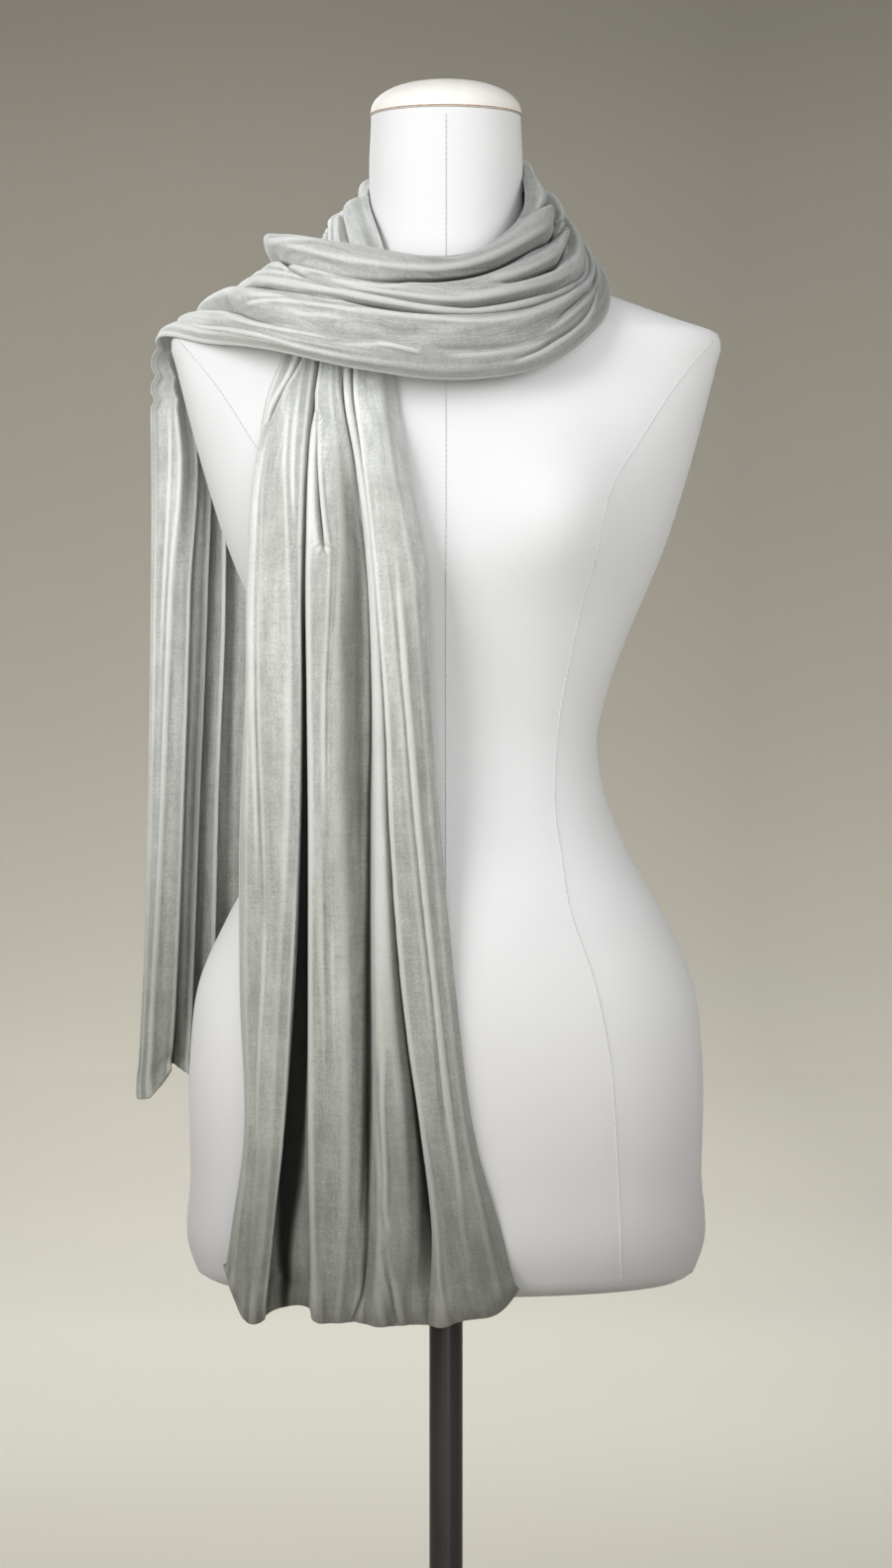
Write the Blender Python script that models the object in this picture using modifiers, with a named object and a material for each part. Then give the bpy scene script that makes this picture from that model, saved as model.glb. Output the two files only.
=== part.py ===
"""A velvet scarf wound once round the neck of a limbless dress form on a pole stand.

Metres, +Z up, X to the viewer's right, the front of the form towards -Y. The origin is the middle of
the stand's foot. The tables are in millimetres, and their heights are above the form's lower edge.

The scarf is one ribbon. It starts at the front hem, climbs the chest, passes round the left side and
the back of the neck, comes forward on the right, crosses the front, and goes over the left shoulder
to hang down the back. STATIONS places its two edges all along, and FOLD_LINES its folds.
"""

import math

import bmesh
import bpy
import numpy as np

MM = 0.001
SEAM_GAP = 0.3

# Stand, millimetres
FOOT_RADIUS = 190.0
FOOT_THICK = 6.0
FOOT_EDGE = 1.5
COLLAR_RADIUS = 30.0
COLLAR_HEIGHT = 38.0
POLE_RADIUS = 11.5
FLANGE_RADIUS = 42.0
FLANGE_THICK = 6.0
FORM_BOTTOM = 650.0

# Dress form, millimetres. Half width, depth in front and behind the axis, and squareness (2 is an ellipse).
FORM_COLUMNS = ("height", "half_width", "front", "back", "square")
FORM_SECTIONS = (
    (0.0, 160.0, 92.0, 98.0, 2.2),
    (4.0, 168.0, 99.0, 106.0, 2.2),
    (14.0, 173.5, 104.0, 112.0, 2.2),
    (75.0, 175.5, 107.0, 119.0, 2.2),
    (156.0, 175.5, 108.0, 124.0, 2.2),
    (205.0, 169.0, 107.0, 121.0, 2.2),
    (250.0, 149.0, 101.0, 108.0, 2.15),
    (300.0, 121.0, 90.0, 88.0, 2.1),
    (340.0, 107.0, 82.0, 76.0, 2.1),
    (370.0, 103.5, 79.0, 72.0, 2.1),
    (405.0, 111.0, 81.0, 75.0, 2.1),
    (450.0, 128.0, 90.0, 83.0, 2.1),
    (500.0, 149.0, 100.0, 91.0, 2.15),
    (550.0, 165.0, 96.0, 95.0, 2.2),
    (600.0, 178.5, 82.0, 92.0, 2.2),
    (626.0, 185.0, 72.0, 86.0, 2.1),
    (640.0, 188.0, 67.0, 82.0, 2.05),
    (648.0, 184.5, 64.0, 80.0, 2.0),
    (657.0, 158.0, 61.0, 77.0, 2.0),
    (669.0, 124.0, 57.0, 74.0, 2.0),
    (680.0, 95.0, 54.5, 70.0, 2.0),
    (692.0, 71.0, 52.5, 64.0, 2.0),
    (708.0, 56.0, 51.0, 57.0, 2.0),
    (730.0, 52.5, 50.0, 53.0, 2.0),
    (760.0, 52.5, 50.0, 52.0, 2.0),
    (795.0, 51.0, 49.0, 51.0, 2.0),
)
BUST_HEIGHT = 522.0
BUST_APART = 84.0
BUST_RISE = 24.0
BUST_SPREAD_X = 46.0
BUST_SPREAD_Z = 52.0
FORM_RINGS = 34
FORM_SIDES = 38
CAP_HEIGHT = 24.0
CAP_RISE = 2.5
CAP_STEPS = 6

# Scarf, millimetres
CLOTH_THICK = 1.8
CLOTH_CLEAR = 0.5
FOLD_FULLNESS = 0.45
ROUNDNESS = 0.6
SPAN_COLUMNS = (3, 3, 3, 3, 3, 3, 3, 3, 3, 3, 1, 3, 3, 3, 3)

# Where the two edges of the ribbon run. The inner edge is the one beside the neck.
# crown: how far the middle stands out of the line between the edges; fold: the depth of a whole fold.
STATION_COLUMNS = ("inner_x", "inner_y", "inner_z", "outer_x", "outer_y", "outer_z", "crown", "fold")
STATIONS = {
    "front_hem": (47.0, -115.0, -16.0, -148.0, -100.0, -14.0, 4.0, 20.0),
    "front_flare": (36.0, -117.0, 42.0, -143.0, -99.0, 42.0, 5.0, 20.0),
    "front_thigh": (19.0, -119.0, 100.0, -135.0, -99.0, 100.0, 6.0, 20.0),
    "front_hip": (4.0, -121.0, 207.0, -137.5, -100.0, 207.0, 7.0, 20.0),
    "front_waist": (-6.0, -124.0, 312.0, -137.5, -101.0, 312.0, 8.0, 20.0),
    "front_rib": (-13.5, -127.0, 401.0, -134.0, -100.0, 401.0, 9.0, 20.0),
    "front_bust": (-16.5, -129.0, 486.0, -132.5, -99.0, 486.0, 11.0, 17.0),
    "front_chest": (-28.0, -116.0, 555.0, -128.0, -86.0, 555.0, 10.0, 14.0),
    "front_collar": (-34.0, -94.0, 598.0, -119.0, -70.0, 598.0, 5.0, 12.0),
    "under_wrap": (-38.0, -78.0, 636.0, -108.0, -62.0, 634.0, 2.0, 5.0),
    "neck_front_left": (-42.0, -58.0, 690.0, -104.0, -38.0, 666.0, 5.0, 6.0),
    "neck_left": (-57.0, -4.0, 744.0, -92.0, 0.0, 692.0, 2.0, 7.0),
    "nape_left": (-44.0, 46.0, 760.0, -86.0, 62.0, 694.0, 8.0, 9.0),
    "nape": (0.0, 62.0, 768.0, 0.0, 92.0, 694.0, 12.0, 11.0),
    "nape_right": (43.0, 46.0, 765.0, 80.0, 60.0, 690.0, 4.0, 9.0),
    "neck_right": (56.0, -4.0, 757.0, 106.0, 2.0, 687.0, 0.0, 7.0),
    "chest_right": (52.0, -52.0, 722.0, 101.0, -66.0, 647.0, 10.0, 9.0),
    "chest_mid": (20.0, -78.0, 697.0, 62.0, -90.0, 617.0, 21.0, 11.0),
    "chest_front": (-16.0, -88.0, 693.0, 4.0, -100.0, 608.0, 25.0, 11.0),
    "chest_left": (-58.0, -90.0, 700.0, -57.0, -112.0, 614.0, 23.0, 11.0),
    "shoulder_front": (-98.0, -64.0, 706.0, -116.0, -96.0, 628.0, 18.0, 11.0),
    "shoulder_edge": (-110.0, -30.0, 702.0, -160.0, -54.0, 639.0, 4.0, 9.0),
    "shoulder_top": (-108.0, 14.0, 693.0, -198.0, 6.0, 648.0, 0.0, 6.5),
    "shoulder_back": (-108.0, 52.0, 682.0, -203.0, 28.0, 636.0, 3.0, 8.5),
    "blade_top": (-101.0, 82.0, 660.0, -204.0, 44.0, 610.0, 5.0, 10.0),
    "blade": (-82.0, 104.0, 610.0, -203.0, 54.0, 562.0, 6.0, 14.0),
    "back_rib": (-66.0, 112.0, 480.0, -204.0, 62.0, 466.0, 6.0, 16.0),
    "back_waist": (-62.0, 117.0, 330.0, -207.0, 70.0, 326.0, 6.0, 16.0),
    "back_hip": (-60.0, 126.0, 220.0, -211.0, 76.0, 214.0, 6.0, 16.0),
    "back_hem": (-58.0, 130.0, 140.0, -218.0, 80.0, 110.0, 5.0, 15.0),
}

# One column for each line that the folds follow: where it lies across the ribbon, as a share from
# the inner edge to the outer one, and how far it stands out of the ribbon, in shares of the fold depth.
FOLD_COLUMNS = (
    "edge", "crest_1", "valley_1", "crest_2", "valley_2", "crest_3", "valley_3", "crest_4", "valley_4",
    "crest_5", "valley_5", "valley_5_far", "crest_6", "valley_6", "crest_7", "outer_edge",
)
FOLD_PLACES = {
    "front_hem": (0, 0.07, 0.18, 0.245, 0.30, 0.44, 0.54, 0.57, 0.625, 0.68, 0.71, 0.85, 0.87, 0.91, 0.96, 1),
    "front_flare": (0, 0.08, 0.165, 0.225, 0.26, 0.41, 0.49, 0.52, 0.60, 0.685, 0.71, 0.835, 0.855, 0.89, 0.96, 1),
    "front_thigh": (0, 0.045, 0.10, 0.185, 0.215, 0.36, 0.455, 0.47, 0.58, 0.69, 0.72, 0.815, 0.84, 0.89, 0.965, 1),
    "front_hip": (0, 0.04, 0.09, 0.195, 0.228, 0.31, 0.39, 0.415, 0.50, 0.64, 0.675, 0.73, 0.755, 0.83, 0.94, 1),
    "front_waist": (0, 0.04, 0.10, 0.19, 0.222, 0.275, 0.34, 0.365, 0.47, 0.60, 0.645, 0.672, 0.695, 0.76, 0.93, 1),
    "front_rib": (0, 0.035, 0.11, 0.178, 0.21, 0.255, 0.30, 0.33, 0.42, 0.59, 0.634, 0.652, 0.67, 0.74, 0.94, 1),
    "front_bust": (0, 0.07, 0.15, 0.212, 0.242, 0.28, 0.315, 0.34, 0.40, 0.58, 0.63, 0.648, 0.665, 0.74, 0.94, 1),
    "front_chest": (0, 0.09, 0.16, 0.205, 0.24, 0.285, 0.323, 0.345, 0.43, 0.56, 0.59, 0.61, 0.63, 0.72, 0.93, 1),
    "front_collar": (0, 0.12, 0.20, 0.26, 0.30, 0.36, 0.408, 0.43, 0.49, 0.572, 0.603, 0.623, 0.66, 0.76, 0.94, 1),
    "neck_left": (0, 0.17, 0.36, 0.42, 0.48, 0.54, 0.60, 0.65, 0.70, 0.74, 0.78, 0.81, 0.85, 0.90, 0.95, 1),
    "nape": (0, 0.07, 0.14, 0.21, 0.28, 0.37, 0.45, 0.52, 0.58, 0.65, 0.72, 0.75, 0.81, 0.87, 0.94, 1),
    "neck_right": (0, 0.11, 0.23, 0.31, 0.40, 0.47, 0.54, 0.60, 0.66, 0.72, 0.765, 0.785, 0.825, 0.87, 0.94, 1),
    "chest_right": (0, 0.13, 0.29, 0.37, 0.455, 0.55, 0.635, 0.66, 0.685, 0.72, 0.752, 0.775, 0.815, 0.86, 0.93, 1),
    "chest_mid": (0, 0.11, 0.235, 0.31, 0.378, 0.45, 0.52, 0.56, 0.60, 0.68, 0.755, 0.775, 0.84, 0.912, 0.955, 1),
    "chest_front": (0, 0.14, 0.30, 0.345, 0.39, 0.44, 0.497, 0.53, 0.565, 0.64, 0.71, 0.735, 0.83, 0.92, 0.96, 1),
    "chest_left": (0, 0.18, 0.375, 0.405, 0.43, 0.455, 0.482, 0.525, 0.57, 0.67, 0.78, 0.80, 0.87, 0.94, 0.97, 1),
    "shoulder_front": (0, 0.14, 0.31, 0.36, 0.41, 0.435, 0.46, 0.51, 0.573, 0.70, 0.82, 0.84, 0.885, 0.94, 0.97, 1),
    "shoulder_edge": (0, 0.11, 0.24, 0.30, 0.345, 0.38, 0.42, 0.46, 0.50, 0.60, 0.70, 0.72, 0.80, 0.90, 0.955, 1),
    "shoulder_top": (0, 0.09, 0.19, 0.25, 0.31, 0.37, 0.43, 0.49, 0.55, 0.63, 0.71, 0.74, 0.81, 0.87, 0.93, 1),
    "blade_top": (0, 0.08, 0.17, 0.25, 0.33, 0.40, 0.47, 0.54, 0.59, 0.64, 0.68, 0.71, 0.765, 0.785, 0.88, 1),
    "back_rib": (0, 0.07, 0.15, 0.24, 0.33, 0.42, 0.51, 0.63, 0.64, 0.72, 0.73, 0.77, 0.845, 0.838, 0.935, 1),
    "back_waist": (0, 0.07, 0.15, 0.24, 0.34, 0.44, 0.54, 0.67, 0.68, 0.76, 0.768, 0.81, 0.872, 0.862, 0.962, 1),
    "back_hip": (0, 0.07, 0.15, 0.24, 0.34, 0.44, 0.55, 0.67, 0.69, 0.77, 0.785, 0.82, 0.882, 0.872, 0.975, 1),
    "back_hem": (0, 0.07, 0.15, 0.24, 0.34, 0.44, 0.55, 0.66, 0.69, 0.76, 0.785, 0.81, 0.862, 0.868, 0.96, 1),
}
FOLD_DEPTHS = {
    "front_hem": (-0.2, 0.2, -0.1, 0.35, 0.0, 0.3, 0.05, 0.15, 0.15, 0.3, -0.7, -0.7, 0.25, 0.35, 0.1, -0.3),
    "front_thigh": (-0.3, 0.15, -0.3, 0.45, -0.5, 0.3, -0.25, 0.15, 0.25, 0.3, -0.65, -0.6, 0.35, 0.45, 0.25, -0.4),
    "front_hip": (-0.35, 0.1, -0.35, 0.35, -0.55, 0.3, -0.5, 0.15, 0.25, 0.3, -0.7, -0.65, 0.35, 0.45, 0.25, -0.45),
    "front_waist": (-0.35, 0.05, -0.2, 0.25, -0.4, 0.0, -0.45, 0.05, 0.25, 0.4, -0.6, -0.55, 0.35, 0.45, 0.25, -0.45),
    "front_rib": (-0.4, -0.05, -0.15, 0.25, -0.4, -0.15, -0.45, 0.0, 0.2, 0.45, -0.4, -0.35, 0.3, 0.4, 0.3, -0.45),
    "front_bust": (-0.6, 0.2, 0.15, 0.3, -0.5, -0.25, -0.4, 0.0, 0.2, 0.5, -0.25, -0.15, 0.3, 0.4, 0.3, -0.4),
    "front_chest": (-0.7, 0.35, 0.4, 0.35, -0.6, -0.1, -0.3, 0.1, 0.35, 0.4, -0.3, -0.15, 0.2, 0.4, 0.25, -0.5),
    "front_collar": (-0.7, 0.3, 0.35, 0.4, -0.9, 0.1, -0.35, 0.2, 0.4, 0.4, -0.4, -0.3, 0.2, 0.45, 0.0, -0.5),
    "neck_left": (-0.5, 0.7, -0.5, 0.3, 0.1, 0.4, 0.0, 0.3, 0.1, 0.2, -0.2, -0.2, 0.2, 0.0, 0.1, -0.4),
    "nape": (-0.6, 0.7, -0.5, 0.5, -0.2, 0.8, -0.6, 0.4, 0.0, 0.8, -0.6, -0.6, 0.7, -0.2, 0.4, -0.6),
    "neck_right": (-0.7, 0.2, -0.9, 0.8, -0.4, 0.6, -0.5, 0.1, -0.3, 0.5, -0.3, -0.3, 0.4, 0.1, 0.5, -0.1),
    "chest_right": (-0.7, 0.9, -0.4, 0.5, -0.4, 0.5, -0.1, 0.0, -0.1, 0.3, 0.0, 0.0, 0.4, 0.1, 0.4, -0.1),
    "chest_mid": (-0.8, 0.9, -0.6, 0.5, 0.0, 0.5, -0.7, 0.0, -0.3, 0.6, 0.4, 0.4, 0.55, 0.3, 0.35, -0.4),
    "chest_front": (-0.8, 0.9, -0.4, 0.4, 0.4, 0.4, -0.3, 0.1, -0.3, 0.65, 0.55, 0.55, 0.6, 0.45, 0.3, -0.6),
    "chest_left": (-0.8, 1.0, -0.1, 0.1, 0.15, 0.15, 0.0, 0.2, -0.3, 0.6, 0.4, 0.4, 0.55, 0.4, 0.3, -0.6),
    "shoulder_front": (-0.8, 1.1, -0.5, 0.1, -0.1, 0.0, -0.1, 0.1, -0.3, 0.9, -0.4, -0.3, 0.5, 0.3, 0.3, -0.5),
    "shoulder_edge": (-0.6, 1.0, -1.0, 0.0, -0.1, 0.1, -0.2, 0.1, -0.4, 0.9, -0.6, -0.5, 0.5, 0.2, 0.4, -0.4),
    "shoulder_top": (-0.5, 0.8, -0.9, 0.3, -0.3, 0.4, -0.4, 0.4, -0.4, 0.7, -0.4, -0.4, 0.4, 0.2, 0.3, -0.4),
    "blade_top": (-0.4, 0.5, -0.5, 0.4, -0.4, 0.5, -0.4, 0.5, -0.2, 0.4, -0.2, 0.0, 0.4, -0.2, -0.5, 0.2),
    "back_rib": (-0.4, 0.5, -0.5, 0.6, -0.5, 0.6, -0.3, 0.5, -0.4, 0.6, -0.4, -0.1, 0.8, -0.5, -0.35, 0.5),
    "back_hip": (-0.3, 0.5, -0.5, 0.6, -0.5, 0.6, -0.4, 0.5, -0.4, 0.6, -0.4, -0.1, 0.8, -0.5, -0.3, 0.4),
    "back_hem": (-0.3, 0.4, -0.4, 0.5, -0.4, 0.5, -0.3, 0.4, -0.3, 0.4, -0.3, -0.1, 0.6, -0.4, -0.2, 0.2),
}

# Both closed ends round off at their corners: how sharply, how far a corner lifts, and from how far.
CORNER_POWER = 10.0
CORNER_LIFT = 12.0
CORNER_REACH = 45.0

# The stretches of the scarf that show, each a solid of its own: its first and last station, and how
# many rows of faces lie between two stations.
STRETCHES = {
    "scarf_front_tail": ("front_hem", "under_wrap", 2),
    "scarf_neck_loop": ("under_wrap", "neck_right", 3),
    "scarf_front_wrap": ("neck_right", "shoulder_top", 3),
    "scarf_back_tail": ("shoulder_top", "back_hem", 2),
}

FABRIC = ("velvet", (0.52, 0.55, 0.51), 0.75, 0.0)
JERSEY = ("form cover", (0.86, 0.86, 0.87), 0.8, 0.0)
CREAM = ("neck cap", (0.84, 0.82, 0.79), 0.6, 0.0)
BLACK_STEEL = ("black steel", (0.02, 0.018, 0.017), 0.35, 0.9)


def smooth(knots, values, at):
    """A smooth curve through values at knots, read at the places at. Values may have more columns."""
    knots = np.asarray(knots, float)
    values = np.asarray(values, float)
    at = np.clip(np.asarray(at, float), knots[0], knots[-1])
    steps = np.diff(knots)
    rises = np.diff(values, axis=0) / steps.reshape((-1,) + (1,) * (values.ndim - 1))
    slopes = np.empty_like(values)
    slopes[0], slopes[-1] = rises[0], rises[-1]
    share = (steps[:-1] / (steps[:-1] + steps[1:])).reshape((-1,) + (1,) * (values.ndim - 1))
    slopes[1:-1] = rises[:-1] * (1 - share) + rises[1:] * share
    i = np.clip(np.searchsorted(knots, at, side="right") - 1, 0, len(steps) - 1)
    t = ((at - knots[i]) / steps[i]).reshape(at.shape + (1,) * (values.ndim - 1))
    step = steps[i].reshape(t.shape)
    return (
        values[i] * (1 + 2 * t) * (1 - t) ** 2
        + values[i + 1] * t * t * (3 - 2 * t)
        + slopes[i] * step * t * (1 - t) ** 2
        - slopes[i + 1] * step * t * t * (1 - t)
    )


def unit(vectors):
    return vectors / np.maximum(np.linalg.norm(vectors, axis=-1, keepdims=True), 1e-9)


# The dress form's skin, as a function
def form_size(height):
    """Half width, front, back and squareness of the form at these heights."""
    table = np.array(FORM_SECTIONS)
    return smooth(table[:, 0], table[:, 1:], height)


def bust(x, height):
    """How far the bust stands out of the front at x and height."""
    along = np.exp(-(((height - BUST_HEIGHT) / BUST_SPREAD_Z) ** 2))
    sides = sum(np.exp(-(((x - side * BUST_APART) / BUST_SPREAD_X) ** 2)) for side in (-1, 1))
    return BUST_RISE * along * sides


def outside(points):
    """Above 0 outside the form and below 0 inside it, growing with the distance from its skin."""
    x, y, z = points[..., 0], points[..., 1], points[..., 2]
    size = form_size(z)
    half, square = size[..., 0], size[..., 3]
    deep = np.where(y < 0, size[..., 1] + bust(x, z), size[..., 2])
    level = (np.abs(x) / half) ** square + (np.abs(y) / deep) ** square
    return (level ** (1 / square) - 1) * np.minimum(half, deep)


def keep_clear(points, clear):
    """Points that lie nearer than clear to the form, or in it, pushed out to that distance."""
    points = points.copy()
    step = 0.5
    for _ in range(8):
        value = outside(points)
        slope = np.stack(
            [(outside(points + step * axis) - outside(points - step * axis)) / (2 * step) for axis in np.eye(3)],
            axis=-1,
        )
        size = np.maximum(np.linalg.norm(slope, axis=-1), 0.2)
        short = np.maximum(clear - value / size, 0)
        points += slope / size[..., None] * short[..., None]
    return points


# The ribbon, as a function
def station_places():
    """Each station's place along the scarf, in millimetres from the front hem."""
    rows = np.array(list(STATIONS.values()))
    middle = (rows[:, 0:3] + rows[:, 3:6]) / 2
    steps = np.linalg.norm(np.diff(middle, axis=0), axis=1)
    return dict(zip(STATIONS, np.concatenate([[0], np.cumsum(steps)])))


def fold_section(shares, depths, across):
    """Share across and height of the folded cloth at the cloth's own places across, 0 to 1.

    Crests are round and valleys are tight, so each rise starts steeply at its lower line.
    """
    spans = shares.shape[1] - 1
    place = np.clip(across * spans, 0, spans - 1e-9)
    i = place.astype(int)
    t = place - i
    near, far = depths[:, i], depths[:, i + 1]
    climb = np.where(near < far, t, 1 - t)
    rise = (1 - ROUNDNESS) * (1 - np.cos(np.pi * climb)) / 2 + ROUNDNESS * np.sin(np.pi * climb / 2)
    height = np.minimum(near, far) + np.abs(far - near) * rise
    side = t + FOLD_FULLNESS * np.sin(2 * np.pi * t) / (2 * np.pi)
    return shares[:, i] + (shares[:, i + 1] - shares[:, i]) * side, height


def scarf_surface(along, across):
    """Points of the scarf's middle surface, one row for each place along and a column for each across."""
    places = station_places()
    knots = list(places.values())
    table = np.array(list(STATIONS.values()))
    rows = smooth(knots, table, along)
    inner, outer, crown, fold = rows[:, 0:3], rows[:, 3:6], rows[:, 6], rows[:, 7]
    shares = smooth([places[p] for p in FOLD_PLACES], np.array(list(FOLD_PLACES.values()), float), along)
    depths = smooth([places[p] for p in FOLD_DEPTHS], np.array(list(FOLD_DEPTHS.values()), float), along)
    ahead = smooth(knots, table[:, :6], along + 1.0)
    behind = smooth(knots, table[:, :6], along - 1.0)
    travel = unit(ahead[:, :3] + ahead[:, 3:] - behind[:, :3] - behind[:, 3:])
    width = outer - inner
    normal = unit(np.cross(travel, width))
    share, height = fold_section(shares, depths * fold[:, None], across)
    arch = crown[:, None] * 4 * share * (1 - share)
    points = inner[:, None] + width[:, None] * share[..., None] + normal[:, None] * (height + arch)[..., None]
    to_end = np.minimum(along - knots[0], knots[-1] - along)
    near_end = np.clip(1 - to_end / CORNER_REACH, 0, 1) ** 2
    points[..., 2] += CORNER_LIFT * near_end[:, None] * np.abs(2 * share - 1) ** CORNER_POWER
    return keep_clear(points, CLOTH_CLEAR + CLOTH_THICK / 2)


def columns_across():
    """Places across the cloth, from 0 to 1: each span between two fold lines takes its own number."""
    spans = [np.arange(count) / count + i for i, count in enumerate(SPAN_COLUMNS)]
    return np.append(np.concatenate(spans), len(SPAN_COLUMNS)) / len(SPAN_COLUMNS)


# Blender objects
def material(name, colour, roughness, metallic):
    made = bpy.data.materials.get(name) or bpy.data.materials.new(name)
    made.use_nodes = True
    shader = made.node_tree.nodes["Principled BSDF"]
    shader.inputs["Base Color"].default_value = (*colour, 1.0)
    shader.inputs["Roughness"].default_value = roughness
    shader.inputs["Metallic"].default_value = metallic
    return made


def finish_object(obj, look, collection):
    """Puts the object in the collection alone, with its material and smooth shading."""
    for other in list(obj.users_collection):
        other.objects.unlink(obj)
    collection.objects.link(obj)
    obj.data.materials.append(material(*look))
    obj.data.shade_smooth()
    obj.data.set_sharp_from_angle(angle=math.radians(40))
    return obj


def mesh_object(name, bm):
    mesh = bpy.data.meshes.new(name)
    bm.to_mesh(mesh)
    bm.free()
    return bpy.data.objects.new(name, mesh)


def grid_faces(bm, rows):
    """Quads between rows of bmesh vertices."""
    for low, high in zip(rows, rows[1:]):
        for a, b, c, d in zip(low, low[1:], high[1:], high):
            bm.faces.new((a, b, c, d))


def ring(height, sides):
    """Points of the form's section at one height, in millimetres."""
    half, front, back, square = form_size(height)
    turn = np.linspace(0, 2 * np.pi, sides, endpoint=False)
    x = half * np.sign(np.cos(turn)) * np.abs(np.cos(turn)) ** (2 / square)
    y = np.sign(np.sin(turn)) * np.abs(np.sin(turn)) ** (2 / square)
    y = np.where(y < 0, y * (front + bust(x, height)), y * back)
    return np.stack([x, y, np.full(sides, height)], axis=1)


def form_heights():
    """Heights of the form's rings: the table's own, and more round the bust and where they are far apart."""
    table = [row[0] for row in FORM_SECTIONS]
    spare = FORM_RINGS - len(table)
    while spare > 0:
        near_bust = np.abs(np.array(table[1:]) - BUST_HEIGHT) < 1.6 * BUST_SPREAD_Z
        widest = int(np.argmax(np.diff(table) * np.where(near_bust, 2.2, 1.0)))
        table.insert(widest + 1, (table[widest] + table[widest + 1]) / 2)
        spare -= 1
    return table


def build_form(collection):
    bm = bmesh.new()
    rows = []
    for height in form_heights():
        points = ring(height, FORM_SIDES) + (0, 0, FORM_BOTTOM)
        row = [bm.verts.new(p * MM) for p in points]
        rows.append(row + row[:1])
    grid_faces(bm, rows)
    bm.faces.new(reversed(rows[0][:-1]))
    bm.faces.new(rows[-1][:-1])
    finish_object(mesh_object("form_torso", bm), JERSEY, collection)


def build_cap(collection):
    """The domed cap on the neck, a little wider than the neck."""
    top = FORM_SECTIONS[-1]
    bm = bmesh.new()
    base = ring(top[0], FORM_SIDES) * (1.01, 1.01, 1) + (0, 0, FORM_BOTTOM + SEAM_GAP)
    rows = []
    for step in range(CAP_STEPS):
        turn = math.pi / 2 * step / CAP_STEPS
        height = CAP_RISE * min(step, 1) + (CAP_HEIGHT - CAP_RISE) * math.sin(turn)
        points = base * (math.cos(turn) ** 0.8, math.cos(turn) ** 0.8, 1) + (0, 0, height)
        row = [bm.verts.new(p * MM) for p in points]
        rows.append(row + row[:1])
    grid_faces(bm, rows)
    bm.faces.new(reversed(rows[0][:-1]))
    summit = bm.verts.new((0, 0, (top[0] + FORM_BOTTOM + SEAM_GAP + CAP_HEIGHT) * MM))
    for a, b in zip(rows[-1], rows[-1][1:]):
        bm.faces.new((a, b, summit))
    finish_object(mesh_object("form_neck_cap", bm), CREAM, collection)


def add_cylinder(name, radius, low, high, sides, collection, edge=0.0):
    """An upright cylinder between two heights, with its rims rounded by edge."""
    bpy.ops.mesh.primitive_cylinder_add(
        vertices=sides, radius=radius * MM, depth=(high - low) * MM, location=(0, 0, (low + high) / 2 * MM)
    )
    obj = bpy.context.object
    obj.name = name
    if edge:
        bevel = obj.modifiers.new("rims", "BEVEL")
        bevel.width = edge * MM
        bevel.segments = 2
        bevel.limit_method = "ANGLE"
    return finish_object(obj, BLACK_STEEL, collection)


def build_stand(collection):
    collar_top = FOOT_THICK + SEAM_GAP + COLLAR_HEIGHT
    flange_low = FORM_BOTTOM - SEAM_GAP - FLANGE_THICK
    add_cylinder("stand_foot", FOOT_RADIUS, 0, FOOT_THICK, 72, collection, FOOT_EDGE)
    add_cylinder("stand_collar", COLLAR_RADIUS, FOOT_THICK + SEAM_GAP, collar_top, 32, collection, 3.0)
    add_cylinder("stand_pole", POLE_RADIUS, collar_top + SEAM_GAP, flange_low - SEAM_GAP, 24, collection)
    add_cylinder("stand_flange", FLANGE_RADIUS, flange_low, FORM_BOTTOM - SEAM_GAP, 32, collection, 1.5)


def row_places(first, last, rows):
    """Places along the scarf of a stretch's rows: as many between any two stations, so bends get more."""
    places = station_places()
    names = list(places)
    low, high = names.index(first), names.index(last)
    steps = np.linspace(low, high, (high - low) * rows + 1)
    along = np.interp(steps, range(len(names)), list(places.values()))
    along[0] += SEAM_GAP / 2 if low > 0 else 0
    along[-1] -= SEAM_GAP / 2 if high < len(names) - 1 else 0
    return along


def scarf_faces(along, across, thick):
    """The outer and the inner face of the scarf, thick apart, square to its middle surface."""
    middle = scarf_surface(along, across)
    step = 0.25
    ahead = scarf_surface(along + step, across) - scarf_surface(along - step, across)
    side = np.gradient(middle, axis=1)
    normal = unit(np.cross(ahead, side))
    return middle + normal * thick / 2, middle - normal * thick / 2


def build_stretch(name, first, last, rows, collection):
    """One stretch of the scarf: a wall between its outer and its inner face, closed by a rim."""
    outer, inner = scarf_faces(row_places(first, last, rows), columns_across(), CLOTH_THICK)
    bm = bmesh.new()
    sheets = []
    for points in (outer, inner):
        sheets.append([[bm.verts.new(p * MM) for p in row] for row in points + (0, 0, FORM_BOTTOM)])
    grid_faces(bm, sheets[0])
    grid_faces(bm, [row[::-1] for row in sheets[1]])
    rims = []
    for sheet in sheets:
        right = [row[-1] for row in sheet]
        left = [row[0] for row in sheet]
        rims.append(sheet[0] + right[1:] + sheet[-1][-2::-1] + left[-2::-1])
    grid_faces(bm, [rims[1], rims[0]])
    bmesh.ops.recalc_face_normals(bm, faces=bm.faces)
    finish_object(mesh_object(name, bm), FABRIC, collection)


def main():
    for obj in list(bpy.data.objects):
        bpy.data.objects.remove(obj)
    collection = bpy.data.collections.new("velvet scarf on a dress form")
    bpy.context.scene.collection.children.link(collection)
    build_stand(collection)
    build_form(collection)
    build_cap(collection)
    for name, (first, last, rows) in STRETCHES.items():
        build_stretch(name, first, last, rows, collection)


main()
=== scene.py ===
"""The dressed scene of a velvet scarf wound round the neck of a dress form, on its pole stand.

Metres, +Z up, the form's front towards -Y. The tables are in millimetres, and their heights are above
the form's lower edge. The scarf's stations and folds are those of its solids, with creases added.
"""

import math

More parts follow.
